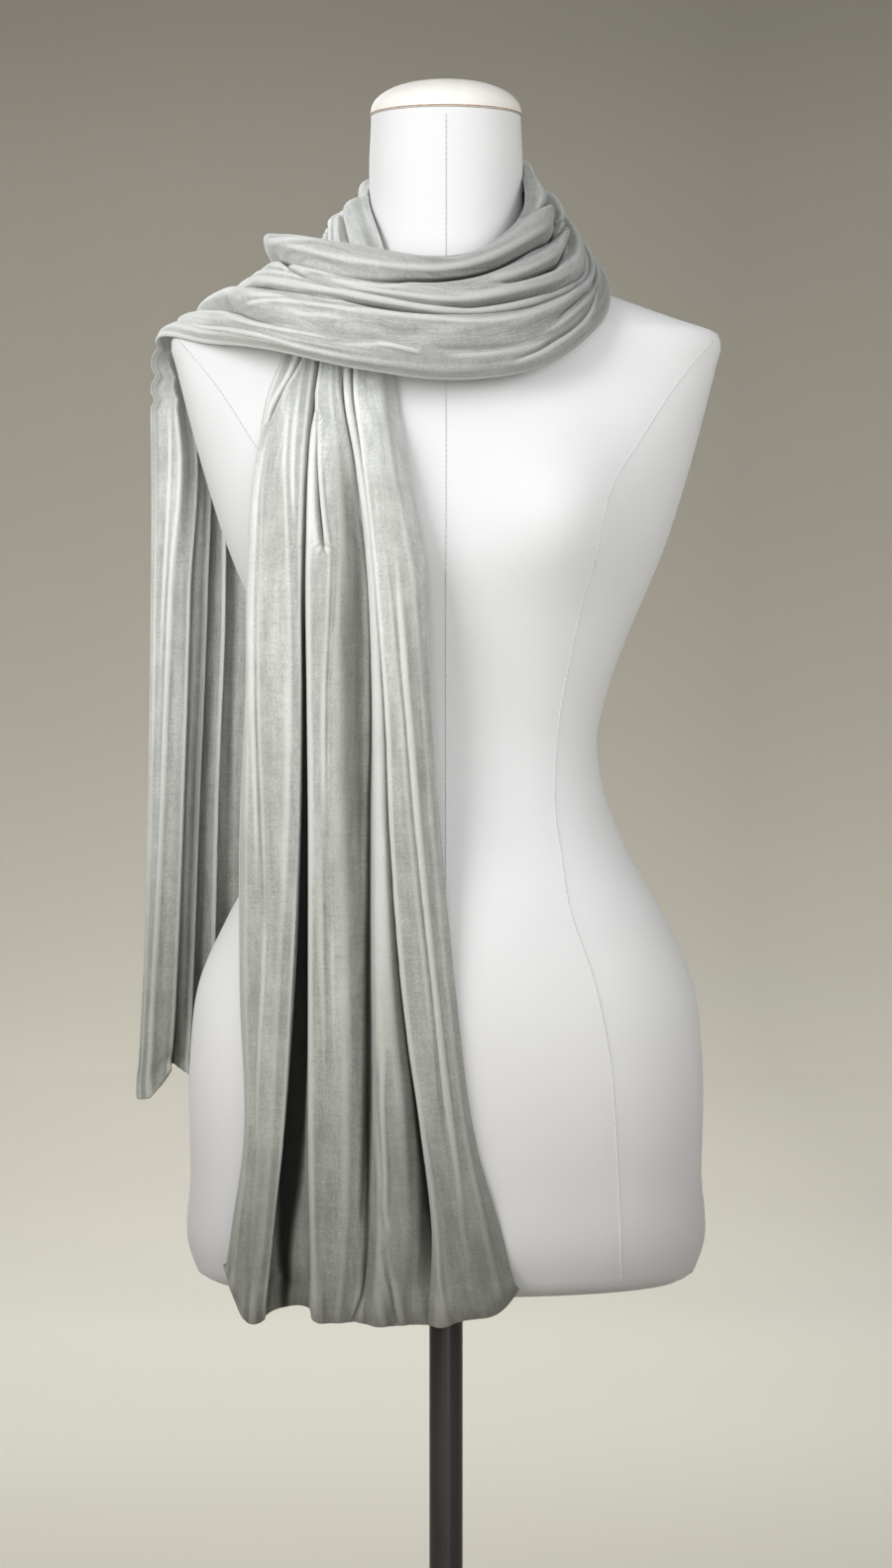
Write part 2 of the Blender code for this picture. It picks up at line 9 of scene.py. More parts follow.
import bpy
import numpy as np
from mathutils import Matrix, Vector

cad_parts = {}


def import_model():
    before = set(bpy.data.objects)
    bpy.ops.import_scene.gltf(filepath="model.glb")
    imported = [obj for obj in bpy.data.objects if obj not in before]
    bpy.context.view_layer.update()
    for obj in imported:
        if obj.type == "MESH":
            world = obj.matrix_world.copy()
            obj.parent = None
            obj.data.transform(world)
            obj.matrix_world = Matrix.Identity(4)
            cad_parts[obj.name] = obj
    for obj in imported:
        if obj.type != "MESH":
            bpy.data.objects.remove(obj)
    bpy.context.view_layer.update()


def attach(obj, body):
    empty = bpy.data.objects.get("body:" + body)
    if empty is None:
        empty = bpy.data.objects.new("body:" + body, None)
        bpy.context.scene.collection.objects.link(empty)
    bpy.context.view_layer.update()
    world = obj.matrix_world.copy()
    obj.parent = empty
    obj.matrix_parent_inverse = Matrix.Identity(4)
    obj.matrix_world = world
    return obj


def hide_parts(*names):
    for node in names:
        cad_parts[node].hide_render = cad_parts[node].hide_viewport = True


MM = 0.001
FORM_BOTTOM = 650.0

# Dress form: height, half width, depth in front and behind the axis, and squareness (2 is an ellipse)
FORM_SECTIONS = (
    (0, 160, 92, 98, 2.2), (4, 168, 99, 106, 2.2), (14, 173.5, 104, 112, 2.2), (75, 175.5, 107, 119, 2.2),
    (156, 175.5, 108, 124, 2.2), (205, 169, 107, 121, 2.2), (250, 149, 101, 108, 2.15),
    (300, 121, 90, 88, 2.1), (340, 107, 82, 76, 2.1), (370, 103.5, 79, 72, 2.1), (405, 111, 81, 75, 2.1),
    (450, 128, 90, 83, 2.1), (500, 149, 100, 91, 2.15), (550, 165, 96, 95, 2.2), (600, 178.5, 82, 92, 2.2),
    (626, 185, 72, 86, 2.1), (640, 188, 67, 82, 2.05), (648, 184.5, 64, 80, 2), (657, 158, 61, 77, 2),
    (669, 124, 57, 74, 2), (680, 95, 54.5, 70, 2), (692, 71, 52.5, 64, 2), (708, 56, 51, 57, 2),
    (730, 52.5, 50, 53, 2), (760, 52.5, 50, 52, 2), (795, 51, 49, 51, 2),
)
FORM_SIDES = 176
FORM_RING_STEP = 6.0
SHARP_ANGLE = 60.0
BUST_HEIGHT = 522.0
BUST_APART = 84.0
BUST_RISE = 24.0
BUST_SPREAD_X = 46.0
BUST_SPREAD_Z = 52.0

# Scarf: its thickness, its distance from the form, how full and round its crests are, how flat their
# tops, and how far its two long rims bulge, in thicknesses
CLOTH_THICK = 1.8
CLOTH_CLEAR = 0.5
FOLD_FULLNESS = 0.45
ROUNDNESS = 0.75
FLATNESS = 0.8
RIM_BULGE = 0.6

# Where the two edges of the ribbon run: x, y, z of the inner edge, the one beside the neck, then of the
# outer one; how far the middle stands out of the line between them; and the depth of a whole fold.
STATIONS = {
    "front_hem": (47, -115, -16, -148, -100, -14, 4, 20),
    "front_flare": (36, -117, 42, -143, -99, 42, 5, 20),
    "front_thigh": (19, -119, 100, -135, -99, 100, 6, 20),
    "front_hip": (4, -121, 207, -137.5, -100, 207, 7, 20),
    "front_waist": (-6, -124, 312, -137.5, -101, 312, 8, 20),
    "front_rib": (-13.5, -127, 401, -134, -100, 401, 9, 20),
    "front_bust": (-16.5, -129, 486, -132.5, -99, 486, 11, 17),
    "front_chest": (-28, -116, 555, -128, -86, 555, 10, 14),
    "front_collar": (-34, -94, 598, -119, -70, 598, 5, 12),
    "under_wrap": (-38, -78, 636, -108, -62, 634, 2, 5),
    "neck_front_left": (-42, -58, 690, -104, -38, 666, 5, 6),
    "neck_left": (-57, -4, 744, -92, 0, 692, 2, 7),
    "nape_left": (-44, 46, 760, -86, 62, 694, 8, 9),
    "nape": (0, 62, 768, 0, 92, 694, 12, 11),
    "nape_right": (43, 46, 765, 80, 60, 690, 4, 9),
    "neck_right": (56, -4, 757, 106, 2, 687, 0, 7),
    "chest_right": (52, -52, 722, 101, -66, 647, 10, 7),
    "chest_mid": (20, -78, 697, 62, -90, 617, 21, 8),
    "chest_front": (-16, -88, 693, 4, -100, 608, 25, 8),
    "chest_left": (-58, -90, 700, -57, -112, 614, 23, 8),
    "shoulder_front": (-98, -64, 706, -116, -96, 628, 18, 9),
    "shoulder_edge": (-110, -30, 702, -160, -54, 639, 4, 9),
    "shoulder_top": (-108, 14, 693, -198, 6, 648, 0, 6.5),
    "shoulder_back": (-108, 52, 682, -203, 28, 636, 3, 8.5),
    "blade_top": (-101, 82, 660, -204, 44, 610, 5, 10),
    "blade": (-82, 104, 610, -203, 54, 562, 6, 14),
    "back_rib": (-66, 112, 480, -204, 62, 466, 6, 16),
    "back_waist": (-62, 117, 330, -207, 70, 326, 6, 16),
    "back_hip": (-60, 126, 220, -211, 76, 214, 6, 16),
    "back_hem": (-58, 130, 140, -218, 80, 110, 5, 15),
}

# The lines that the folds follow: edge, crest 1, valley 1, crest 2, valley 2, crest 3, valley 3, crest 4,
# valley 4, crest 5, valley 5, its far side, crest 6, valley 6, crest 7, outer edge. First where each lies
# across the ribbon, in thousandths from the inner edge; then how far it stands out of the ribbon, in
# hundredths of the fold depth.
FOLD_PLACES = {
    "front_hem": (0, 70, 180, 245, 300, 440, 540, 570, 625, 680, 710, 870, 855, 900, 960, 1000),
    "front_flare": (0, 80, 165, 235, 250, 410, 490, 520, 600, 685, 710, 860, 838, 885, 960, 1000),
    "front_thigh": (0, 45, 100, 205, 200, 360, 455, 470, 580, 690, 718, 850, 820, 890, 965, 1000),
    "front_hip": (0, 40, 90, 218, 212, 305, 403, 397, 515, 642, 670, 760, 735, 830, 940, 1000),
    "front_waist": (0, 40, 100, 216, 210, 268, 353, 347, 490, 605, 643, 700, 675, 760, 930, 1000),
    "front_rib": (0, 35, 110, 202, 198, 250, 314, 308, 455, 590, 636, 675, 660, 740, 940, 1000),
    "front_bust": (0, 70, 150, 240, 236, 280, 313, 309, 440, 580, 632, 660, 652, 740, 940, 1000),
    "front_chest": (0, 90, 160, 236, 232, 285, 323, 337, 430, 560, 590, 610, 630, 720, 930, 1000),
    "front_collar": (0, 120, 200, 290, 285, 360, 408, 425, 490, 572, 603, 623, 660, 760, 940, 1000),
    "neck_left": (0, 170, 360, 420, 480, 540, 600, 650, 700, 740, 780, 810, 850, 900, 950, 1000),
    "nape": (0, 70, 140, 210, 280, 370, 450, 520, 580, 650, 720, 750, 810, 870, 940, 1000),
    "neck_right": (0, 110, 230, 310, 400, 470, 540, 600, 660, 720, 765, 785, 825, 870, 940, 1000),
    "chest_right": (0, 130, 290, 370, 455, 550, 635, 660, 685, 720, 752, 775, 815, 860, 930, 1000),
    "chest_mid": (0, 110, 235, 310, 378, 450, 520, 560, 600, 680, 755, 775, 840, 912, 955, 1000),
    "chest_front": (0, 140, 300, 345, 390, 440, 497, 530, 565, 640, 710, 735, 830, 920, 960, 1000),
    "chest_left": (0, 180, 375, 405, 430, 455, 482, 525, 570, 670, 780, 800, 870, 940, 970, 1000),
    "shoulder_front": (0, 140, 310, 360, 410, 435, 460, 510, 573, 700, 820, 840, 885, 940, 970, 1000),
    "shoulder_edge": (0, 110, 240, 300, 345, 380, 420, 460, 500, 600, 700, 720, 800, 900, 955, 1000),
    "shoulder_top": (0, 90, 190, 250, 310, 370, 430, 490, 550, 630, 710, 740, 810, 870, 930, 1000),
    "blade_top": (0, 80, 170, 250, 330, 400, 470, 540, 590, 640, 680, 710, 765, 785, 880, 1000),
    "back_rib": (0, 70, 150, 240, 330, 420, 510, 630, 640, 720, 730, 770, 845, 838, 935, 1000),
    "back_waist": (0, 70, 150, 240, 340, 440, 540, 670, 680, 760, 768, 810, 872, 862, 962, 1000),
    "back_hip": (0, 70, 150, 240, 340, 440, 550, 670, 690, 770, 785, 820, 882, 872, 975, 1000),
    "back_hem": (0, 70, 150, 240, 340, 440, 550, 660, 690, 760, 785, 810, 862, 868, 960, 1000),
}
FOLD_DEPTHS = {
    "front_hem": (-35, 10, 20, 30, 0, 30, 5, 10, 20, 30, -90, -90, 25, 35, 10, -30),
    "front_thigh": (-50, -5, 20, 35, -50, 30, -35, -20, 30, 38, -130, -120, 30, 45, 25, -40),
    "front_hip": (-50, -10, 20, 30, -55, 30, -75, -50, 38, 38, -130, -120, 25, 45, 25, -45),
    "front_waist": (-50, -10, 20, 25, -50, 10, -75, -50, 38, 42, -90, -80, 20, 40, 25, -45),
    "front_rib": (-50, -10, 20, 20, -50, -10, -75, -55, 40, 48, -40, -35, 15, 35, 30, -45),
    "front_bust": (-60, 10, 20, 20, -50, -25, -65, -50, 38, 50, -25, -15, 15, 35, 30, -40),
    "front_chest": (-70, 35, 40, 35, -60, -10, -30, 10, 35, 40, -30, -15, 20, 40, 25, -50),
    "front_collar": (-70, 30, 35, 40, -90, 10, -35, 20, 40, 40, -40, -30, 20, 45, 0, -50),
    "neck_left": (-50, 70, -50, 30, 10, 40, 0, 30, 10, 20, -20, -20, 20, 0, 10, -40),
    "nape": (-60, 70, -50, 50, -20, 80, -60, 40, 0, 80, -60, -60, 70, -20, 40, -60),
    "neck_right": (-70, 20, -90, 80, -40, 60, -50, 10, -30, 50, -30, -30, 40, 10, 50, -10),
    "chest_right": (-90, 110, -50, 50, -50, 60, -20, 10, -20, 40, -10, 0, 40, 45, 60, 30),
    "chest_mid": (-110, 120, -60, 40, 10, 50, -60, 10, -20, 70, 60, 60, 90, 100, 115, 30),
    "chest_front": (-110, 120, -30, 40, 45, 50, -10, 20, -10, 80, 80, 80, 100, 110, 125, 40),
    "chest_left": (-110, 135, 0, 20, 25, 25, 10, 30, -10, 75, 70, 70, 95, 110, 125, 40),
    "shoulder_front": (-100, 135, -50, 10, 0, 10, 0, 20, -20, 90, 15, 20, 65, 80, 95, 20),
    "shoulder_edge": (-60, 100, -100, 0, -10, 10, -20, 10, -40, 90, -60, -50, 50, 20, 40, -40),
    "shoulder_top": (-50, 80, -90, 30, -30, 40, -40, 40, -40, 70, -40, -40, 40, 20, 30, -40),
    "blade_top": (-40, 50, -40, 40, -30, 50, -20, 50, -10, 50, -10, 20, 60, -20, -50, 20),
    "back_rib": (-40, 50, -30, 60, -20, 60, 0, 60, 0, 80, 10, 40, 100, -50, -35, 50),
    "back_hip": (-30, 50, -30, 50, -20, 40, -10, 40, -20, 50, -10, 20, 90, -50, -30, 40),
    "back_hem": (-30, 40, -40, 50, -40, 50, -30, 40, -30, 40, -30, -10, 60, -40, -20, 20),
}

# Both closed ends: how sharply their corners round, how far a corner lifts and from how far away, how
# far the cloth balloons out above the end and over what length, and how the very end draws in.
CORNER_POWER = 10.0
CORNER_LIFT = 12.0
CORNER_REACH = 45.0
BALLOON = 2.4
BALLOON_REACH = 26.0
END_TUCK = 2.0
END_TUCK_REACH = 4.0

# Places where a hand pulled the folds about: x, y, z of the middle, its move, and its reach.
PULLS = (
    (-123, -45, 692, 10, 0, -1, 12, 42, 7),
    (-118, -68, 705, -1.5, -3, 1.5, 6, 10, 4),
    (53, 26, 760, 1, 0, 9, 11, 20, 12),
    (-68, 20, 749, 10, 0, -9, 12, 26, 12),
    (-57, -120, 480, 0, 9, 0, 7, 60, 70),
    (-56, -120, 360, 0, 8, 0, 7, 60, 70),
    (-194, 6, 655, 3, 0, 0, 20, 30, 3),
    (-203, 34, 640, 3.5, 0, 0, 20, 30, 3),
    (-204, 44, 622, 3.5, 0, 0, 20, 30, 3.5),
    (-203, 44, 606, 3, 0, 0, 20, 30, 3),
)

# The stretches of the scarf, each a piece: its first and last station, the mesh's steps along it, the
# flat width of cloth that shows in it, and its solid.
STRETCHES = {
    "scarf_front_tail_cloth": ("front_hem", "under_wrap", 160, 0.30, "scarf_front_tail"),
    "scarf_neck_loop_cloth": ("under_wrap", "neck_right", 115, 0.18, "scarf_neck_loop"),
    "scarf_front_wrap_cloth": ("neck_right", "shoulder_top", 160, 0.19, "scarf_front_wrap"),
    "scarf_back_tail_cloth": ("shoulder_top", "back_hem", 160, 0.29, "scarf_back_tail"),
}

# Columns across the cloth, when its section is worked out and in the mesh, and its width in the UV map
FINE_COLUMNS = 1350
CLOTH_COLUMNS = 300
UV_WIDTH = 0.30

# Creases listed one by one, each a line through its points: the place along the scarf from the front hem,
# the share across in thousandths from the inner edge, how deep it sinks (below 0: how far it stands out),
# and how wide it is towards the inner and towards the outer edge.
CREASES = {
    "roll_line": (
        (1030, 420, 0, 5, 2), (1052, 380, 2.5, 6, 1.6), (1082, 300, 6, 7, 1.4), (1113, 238, 6, 7, 1.4),
        (1137, 237, 5, 7, 1.5), (1156, 262, 3.6, 7, 1.6), (1182, 290, 3.4, 8, 1.6),
        (1204, 328, 3.4, 9, 1.8), (1227, 392, 3, 9, 2.5), (1240, 378, 2, 9, 4), (1256, 375, 0, 8, 5),
    ),
    "roll_tip_line": (
        (1262, 470, 0, 4, 1), (1270, 450, 2.4, 4, 1), (1283, 378, 3.4, 6, 1.2), (1294, 305, 5, 8, 1.6),
        (1310, 270, 6, 9, 2.5), (1330, 250, 4, 9, 3), (1360, 240, 0, 8, 4),
    ),
    "roll_tip_under": (
        (1268, 460, 0, 2, 1.2), (1278, 425, 1.6, 2.5, 1.2), (1290, 400, 1.8, 3, 1.4), (1303, 380, 0, 3, 2),
    ),
    "roll_tuck": (
        (1078, 170, 0, 2, 2), (1070, 220, 1.8, 2.5, 1.2), (1052, 330, 2, 3, 1.2), (1040, 380, 0, 3, 2),
    ),
    "second_pit": (
        (1060, 400, 0, 6, 2), (1076, 425, 3.5, 6, 1.8), (1090, 458, 6, 6, 1.6), (1101, 478, 6.5, 6, 1.5),
        (1115, 450, 5, 6, 1.5), (1128, 415, 4, 6, 1.8), (1139, 378, 3, 5, 3), (1150, 350, 0, 5, 4),
    ),
    "wedge": (
        (1064, 660, 0, 4, 2), (1080, 655, 2.4, 5, 1.4), (1094, 633, 2.4, 5, 1.2), (1111, 600, 2.2, 5, 1.2),
        (1129, 540, 3.5, 4, 1.6), (1152, 500, 7, 3, 3.2), (1170, 502, 6.5, 2.5, 3), (1186, 498, 3, 3, 1.6),
        (1207, 505, 1.6, 4, 1.2), (1233, 492, 1.4, 4, 1.2), (1250, 468, 1.4, 4, 1.2), (1268, 452, 0, 4, 2),
    ),
    "band_top": (
        (1070, 700, 0, 3, 1.2), (1086, 680, 1.6, 3, 1), (1100, 672, 2, 3.5, 1), (1115, 637, 2.2, 3.5, 1),
        (1137, 603, 1.4, 3, 1), (1155, 575, 1.2, 3, 1), (1177, 560, 1.2, 3, 1.2), (1200, 578, 1.8, 4, 1.4),
        (1219, 597, 3.2, 5, 1.8), (1232, 588, 3.6, 5, 1.8), (1244, 560, 3, 4, 1.8),
        (1256, 552, 1.2, 3, 1.4), (1273, 577, 1.6, 4, 1.2), (1294, 573, 2.2, 5, 1.4),
        (1325, 508, 3.6, 6, 2), (1350, 500, 0, 6, 3),
    ),
    "band_fold": (
        (1238, 628, 0, 3, 1), (1250, 622, 1.3, 3.5, 1), (1262, 638, 1.5, 4, 1), (1277, 658, 1.5, 4, 1),
        (1290, 690, 1.3, 4, 1.2), (1310, 735, 0, 4, 2),
    ),
    "band_fold_trough": (
        (1236, 690, 0, 6, 5), (1252, 672, 1.6, 5, 5), (1268, 700, 1.8, 5, 6), (1282, 740, 0, 6, 6),
    ),
    "shoulder_line": (
        (1270, 810, 0, 3, 3), (1284, 820, 1.2, 4, 2), (1296, 830, 3, 4, 1.5), (1309, 800, 4, 4, 1.4),
        (1320, 760, 4, 4, 1.4), (1335, 725, 3.6, 4, 1.6), (1348, 700, 3.4, 4, 2), (1366, 690, 0, 4, 3),
    ),
    "shoulder_notch": (
        (1328, 665, 0, 2, 2), (1336, 675, 2.6, 2.5, 1.2), (1345, 688, 2.2, 2.5, 1.2), (1352, 690, 0, 2, 2),
    ),
    "right_pit": (
        (1082, 757, 0, 4, 2), (1092, 758, 3, 5, 1.6), (1103, 760, 4.6, 5, 1.5), (1112, 758, 3.4, 5, 2.2),
        (1122, 757, 0, 5, 4),
    ),
    "rim_line": (
        (1066, 800, 0, 5, 1.4), (1083, 840, 1.6, 5, 1.2), (1097, 885, 2.2, 5, 1.2),
        (1113, 900, 2.2, 4, 1.2), (1129, 900, 2, 4, 1.4), (1143, 920, 1.6, 3, 1.4), (1157, 935, 0, 3, 2),
    ),
    "rim_left": (
        (1275, 955, 0, 2, 1), (1300, 945, -0.9, 1.6, 1.6), (1330, 930, -1, 1.6, 1.6), (1362, 920, 0, 2, 2),
    ),
    "rim_left_trough": (
        (1290, 900, 0, 4, 3), (1318, 895, 1.4, 4, 2.4), (1345, 880, 1.4, 4, 3), (1372, 860, 0, 4, 4),
    ),
    "band_crease": (
        (1206, 865, 0, 2, 3), (1213, 860, -1.6, 1.2, 3), (1221, 845, -1.4, 1.2, 3), (1232, 830, 0, 2, 3),
    ),
    "band_trough": (
        (1208, 815, 0, 5, 4), (1226, 820, 2, 6, 4), (1246, 838, 2.2, 6, 5), (1268, 845, 0, 6, 5),
    ),
    "band_dip": (
        (1178, 630, 0, 4, 7), (1190, 645, 1.8, 4, 8), (1203, 655, 1.2, 4, 8), (1212, 660, 0, 4, 6),
    ),
    "band_low_trough": (
        (1120, 830, 0, 5, 5), (1150, 830, 1.4, 6, 4), (1185, 825, 1.4, 6, 4), (1205, 820, 0, 5, 4),
    ),
    "roll_fold": ((1150, 75, 0, 2, 2), (1163, 85, 1.6, 2, 3), (1171, 85, 1.6, 2, 3), (1180, 80, 0, 2, 2)),
    "roll_soft_line": (
        (1225, 70, 0, 3, 4), (1255, 110, -0.9, 3, 4), (1285, 170, -0.9, 3, 4), (1305, 200, 0, 3, 4),
    ),
    "loop_edge": (
        (1024, 290, 0, 4, 1.4), (1034, 245, 4, 7, 1.4), (1046, 195, 5.5, 8, 1.4), (1058, 145, 5.5, 8, 1.4),
        (1070, 90, 4.5, 8, 1.4), (1082, 35, 2.5, 7, 1.4), (1090, 0, 0, 5, 1.4),
    ),
    "loop_back_line": (
        (985, 130, 0, 3, 1.4), (1003, 160, 3, 4, 1.4), (1022, 170, 3, 4, 1.4), (1040, 170, 0, 3, 1.4),
    ),
    "tail_seam": (
        (1480, 890, 0, 1.4, 1.4), (1500, 900, -1.2, 1.4, 1.4), (1537, 916, -1.5, 1.4, 1.4),
        (1627, 944, -1.5, 1.4, 1.4), (1705, 959, -1.4, 1.4, 1.4), (1770, 965, -1.4, 1.4, 1.4),
        (1838, 975, -1.2, 1.4, 1.4), (1890, 981, -1, 1.4, 1.4), (1930, 985, 0, 1.4, 1.4),
    ),
    "neck_left_line": (
        (712, 300, 0, 3, 1.4), (735, 330, 2.4, 4, 1.4), (765, 380, 3, 5, 1.4), (800, 420, 0, 5, 3),
    ),
    "neck_left_low": (
        (715, 620, 0, 3, 1.4), (740, 600, 1.8, 4, 1.4), (775, 620, 2.4, 5, 1.6), (810, 640, 0, 5, 3),
    ),
    "front_pit": (
        (596, 930, 0, 3, 3), (606, 930, 4, 3.5, 2.5), (618, 905, 6, 3.5, 2.5), (634, 840, 6, 3, 2.5),
        (650, 800, 4, 3, 3),
    ),
    "front_left_edge": (
        (560, 600, 0.6, 1.4, 4), (585, 585, 2, 1.2, 4), (606, 575, 3, 1.2, 4), (620, 600, 3.4, 1.2, 4),
        (650, 640, 3.4, 1.2, 4),
    ),
    "front_dart": (
        (508, 500, 0, 1, 3), (514, 503, 4.5, 1.4, 4), (530, 508, 6.5, 1.6, 4.5), (556, 515, 4.5, 1.4, 3.5),
        (580, 528, 2, 1.2, 2.5), (604, 550, 0, 1.2, 2),
    ),
    "front_dart_edge": (
        (506, 478, 0, 2, 1.2), (520, 482, -1.6, 2.5, 1.2), (560, 497, -1.4, 2.5, 1.2), (600, 520, 0, 2, 1),
    ),
    "mid_line": (
        (300, 385, 0, 4, 3), (420, 297, 1, 2, 1.6), (502, 313, 1.6, 2, 1.5), (545, 318, 2.2, 2.5, 1.4),
        (572, 325, 2.8, 3, 1.4), (600, 370, 3.2, 3, 1.4), (640, 420, 3.4, 3, 1.4),
    ),
    "gap_line": (
        (70, 240, 0, 1.4, 4), (100, 225, 2, 1.4, 4), (160, 222, 3, 1.4, 4), (223, 238, 3.4, 1.6, 3),
        (328, 230, 3.6, 1.8, 2.4), (417, 215, 4, 1.6, 1.6), (440, 222, 3.2, 1.2, 1.4),
        (502, 246, 3, 1.2, 1.4), (572, 247, 4, 1.4, 1.6), (619, 303, 5, 1.8, 2), (645, 330, 5.5, 2.2, 2.6),
    ),
    "flank_line": (
        (90, 110, 0, 2, 4), (160, 93, 1.2, 1.6, 4), (223, 89, 1.6, 1.6, 3), (328, 103, 1.6, 2, 3),
        (417, 110, 1.4, 2, 2.5), (480, 145, 0.8, 2.5, 2.5), (520, 160, 0, 3, 3),
    ),
    "left_soft_line": (
        (270, 860, 0, 2, 2), (328, 868, 1.2, 1.8, 2.6), (417, 905, 1.4, 1.8, 2.6), (502, 902, 0.9, 2, 3),
        (572, 885, 0.8, 2, 3), (600, 870, 0, 3, 3),
    ),
    "left_low_line": (
        (110, 940, 0, 1.4, 2), (160, 915, -0.8, 1.6, 1.6), (223, 865, -1, 1.6, 1.6), (280, 840, 0, 2, 2),
    ),
    "left_high_trough": (
        (480, 700, 0, 3, 3), (540, 700, 1, 3, 3), (590, 730, 1.2, 3, 3), (620, 750, 0, 3, 3),
    ),
    "mid_soft_step": (
        (250, 530, 0, 5, 2), (328, 520, 1, 5, 2), (417, 500, 1.2, 5, 2), (500, 460, 1, 5, 2.4),
        (540, 440, 0, 5, 3),
    ),
    "mid_soft_line": (
        (120, 600, 0, 3, 3), (223, 560, 1, 3, 3), (300, 540, 0.8, 3, 3), (360, 530, 0, 3, 3),
    ),
    "low_crest_edge": (
        (62, 400, 0, 3, 1.2), (75, 405, -1.4, 3, 1), (100, 385, -2, 3, 1), (150, 360, -1.4, 3, 1),
        (190, 330, 0, 3, 1),
    ),
    "low_right_edge": (
        (8, 235, 0, 2, 1.2), (30, 240, -1.8, 3, 1), (60, 225, -1.8, 3, 1), (110, 200, -1.2, 3, 1),
        (150, 200, 0, 3, 1),
    ),
    "tent_left": (
        (4, 550, 1.2, 3, 1.4), (20, 520, 1.8, 3.5, 1.6), (50, 490, 1.2, 4, 2.5), (85, 460, 0, 4, 3),
    ),
    "tent_right": (
        (4, 400, 1.2, 1.6, 3), (20, 410, 1.6, 1.8, 3), (40, 425, 0.8, 2, 3), (60, 430, 0, 3, 3),
    ),
}

# How much narrower the creases are made, to what width at least, and how much deeper: by a factor, up
# to a number of millimetres
CREASE_WIDTH = 0.6
CREASE_NARROWEST = 0.8
CREASE_GAIN = 1.5
CREASE_EXTRA = 1.6

# Small long wrinkles between the placed ones: how many, their length, width and height, how far they
# drift across, and their seed
WRINKLES = 170
WRINKLE_LENGTH = (50.0, 260.0)
WRINKLE_WIDTH = (2.4, 8.0)
WRINKLE_RISE = (0.1, 0.5)
WRINKLE_DRIFT = 0.025
WRINKLE_SEED = 11

# How far each hem lies above its station's line, by share from the inner edge, and how far up the cloth
# follows it
HEM_LINE = (
    (0, 12), (0.06, 7), (0.187, 4.5), (0.25, 0.5), (0.33, 1.5), (0.4, 1), (0.48, 0), (0.54, 2),
    (0.62, 1.5), (0.68, 2.5), (0.71, 7), (0.8, 7.5), (0.845, 4), (0.87, 0), (0.93, 1.5), (0.97, 14),
    (1, 24),
)
BACK_HEM_LINE = (
    (0, 0), (0.6, 5), (0.78, 14), (0.815, 19), (0.85, 23), (0.9, 12), (0.95, 1), (1, -8),
)
HEM_REACH = 60.0

# Puckers at both hems: share across, width, depth, and how far up each runs. Their depth is multiplied
# by PUCKER_DEPTH.
PUCKERS = (
    (0.045, 5, 2.4, 26), (0.13, 4, 2, 34), (0.215, 4.5, 3.6, 52), (0.29, 4, 2.2, 30), (0.36, 5, 2.6, 40),
    (0.425, 4.5, 3.4, 46), (0.5, 5, 3.8, 60), (0.56, 4, 2.2, 28), (0.635, 4.5, 2.6, 36),
    (0.87, 5, 3.6, 52), (0.915, 3.5, 2.6, 70), (0.95, 3.5, 2.8, 44), (0.98, 3, 2, 60),
)
PUCKER_DEPTH = 0.55

# Painted shade and painted highlight on the pile: the depth at which a valley's painted shade is darkest,
# how much of that the inside shows, the rise at which a ridge's painted highlight is brightest, and the
# painted highlight along the outer edge: its place, its spread and its share.
# A valley counts where cloth on both sides climbs at VALLEY_STEEP or more, within VALLEY_REACH columns.
# A ridge is measured against the cloth RIDGE_NEAR columns away on both sides.
VALLEY_DEPTH = 5.5
VALLEY_STEEP = 0.3
VALLEY_REACH = 35
INNER_VALLEY = 0.45
RIDGE_RISE = 0.28
RIDGE_NEAR = (3, 4)
EDGE_HIGHLIGHT = (1.6, 1.8, 0.9)

# Spots of painted shade on the outer face, and below 0 of painted highlight: the place along and the share
# across, how far it reaches either way, and how much darker it looks (below 0: how much paler)
SHADE_SPOTS = (
    (545, 0.385, 60, 0.06, 0.3), (450, 0.39, 62, 0.07, 0.4), (360, 0.42, 62, 0.07, 0.32),
    (270, 0.455, 60, 0.06, 0.18), (50, 0.08, 50, 0.06, 0.14), (70, 0.225, 60, 0.035, -0.75),
    (105, 0.4, 55, 0.02, -0.7), (20, 0.4, 22, 0.06, 0.18),
)

# Painted shade along the scarf, by share of SHADE_ALONG_LENGTH metres from the front hem: 1 shows its full
# colour, and lower values paint it darker where less light falls, as towards both hanging ends
SHADE_ALONG_LENGTH = 2.0
SHADE_ALONG = (
    (0, (0.31, 0.305, 0.28)), (0.05, (0.46, 0.46, 0.43)), (0.12, (0.65, 0.65, 0.62)),
    (0.21, (0.82, 0.82, 0.8)), (0.31, 1), (0.46, 0.86), (0.53, 0.44), (0.565, 0.55), (0.6, 0.76),
    (0.64, 0.84), (0.7, 0.98), (0.82, 0.95), (0.89, (0.7, 0.7, 0.68)), (0.94, (0.54, 0.54, 0.51)),
    (0.99, (0.5, 0.5, 0.47)),
)
# The silver of the painted sheen, painted glints and painted highlights on the velvet
SHEEN_SILVER = (0.83, 0.84, 0.83, 1.0)
# How dark the painted shade in the valleys is, by its strength
VALLEY_SHADE_TONES = ((0.06, 1.0), (0.30, (0.72, 0.72, 0.70)), (0.62, (0.28, 0.28, 0.27)), (1.0, 0.06))

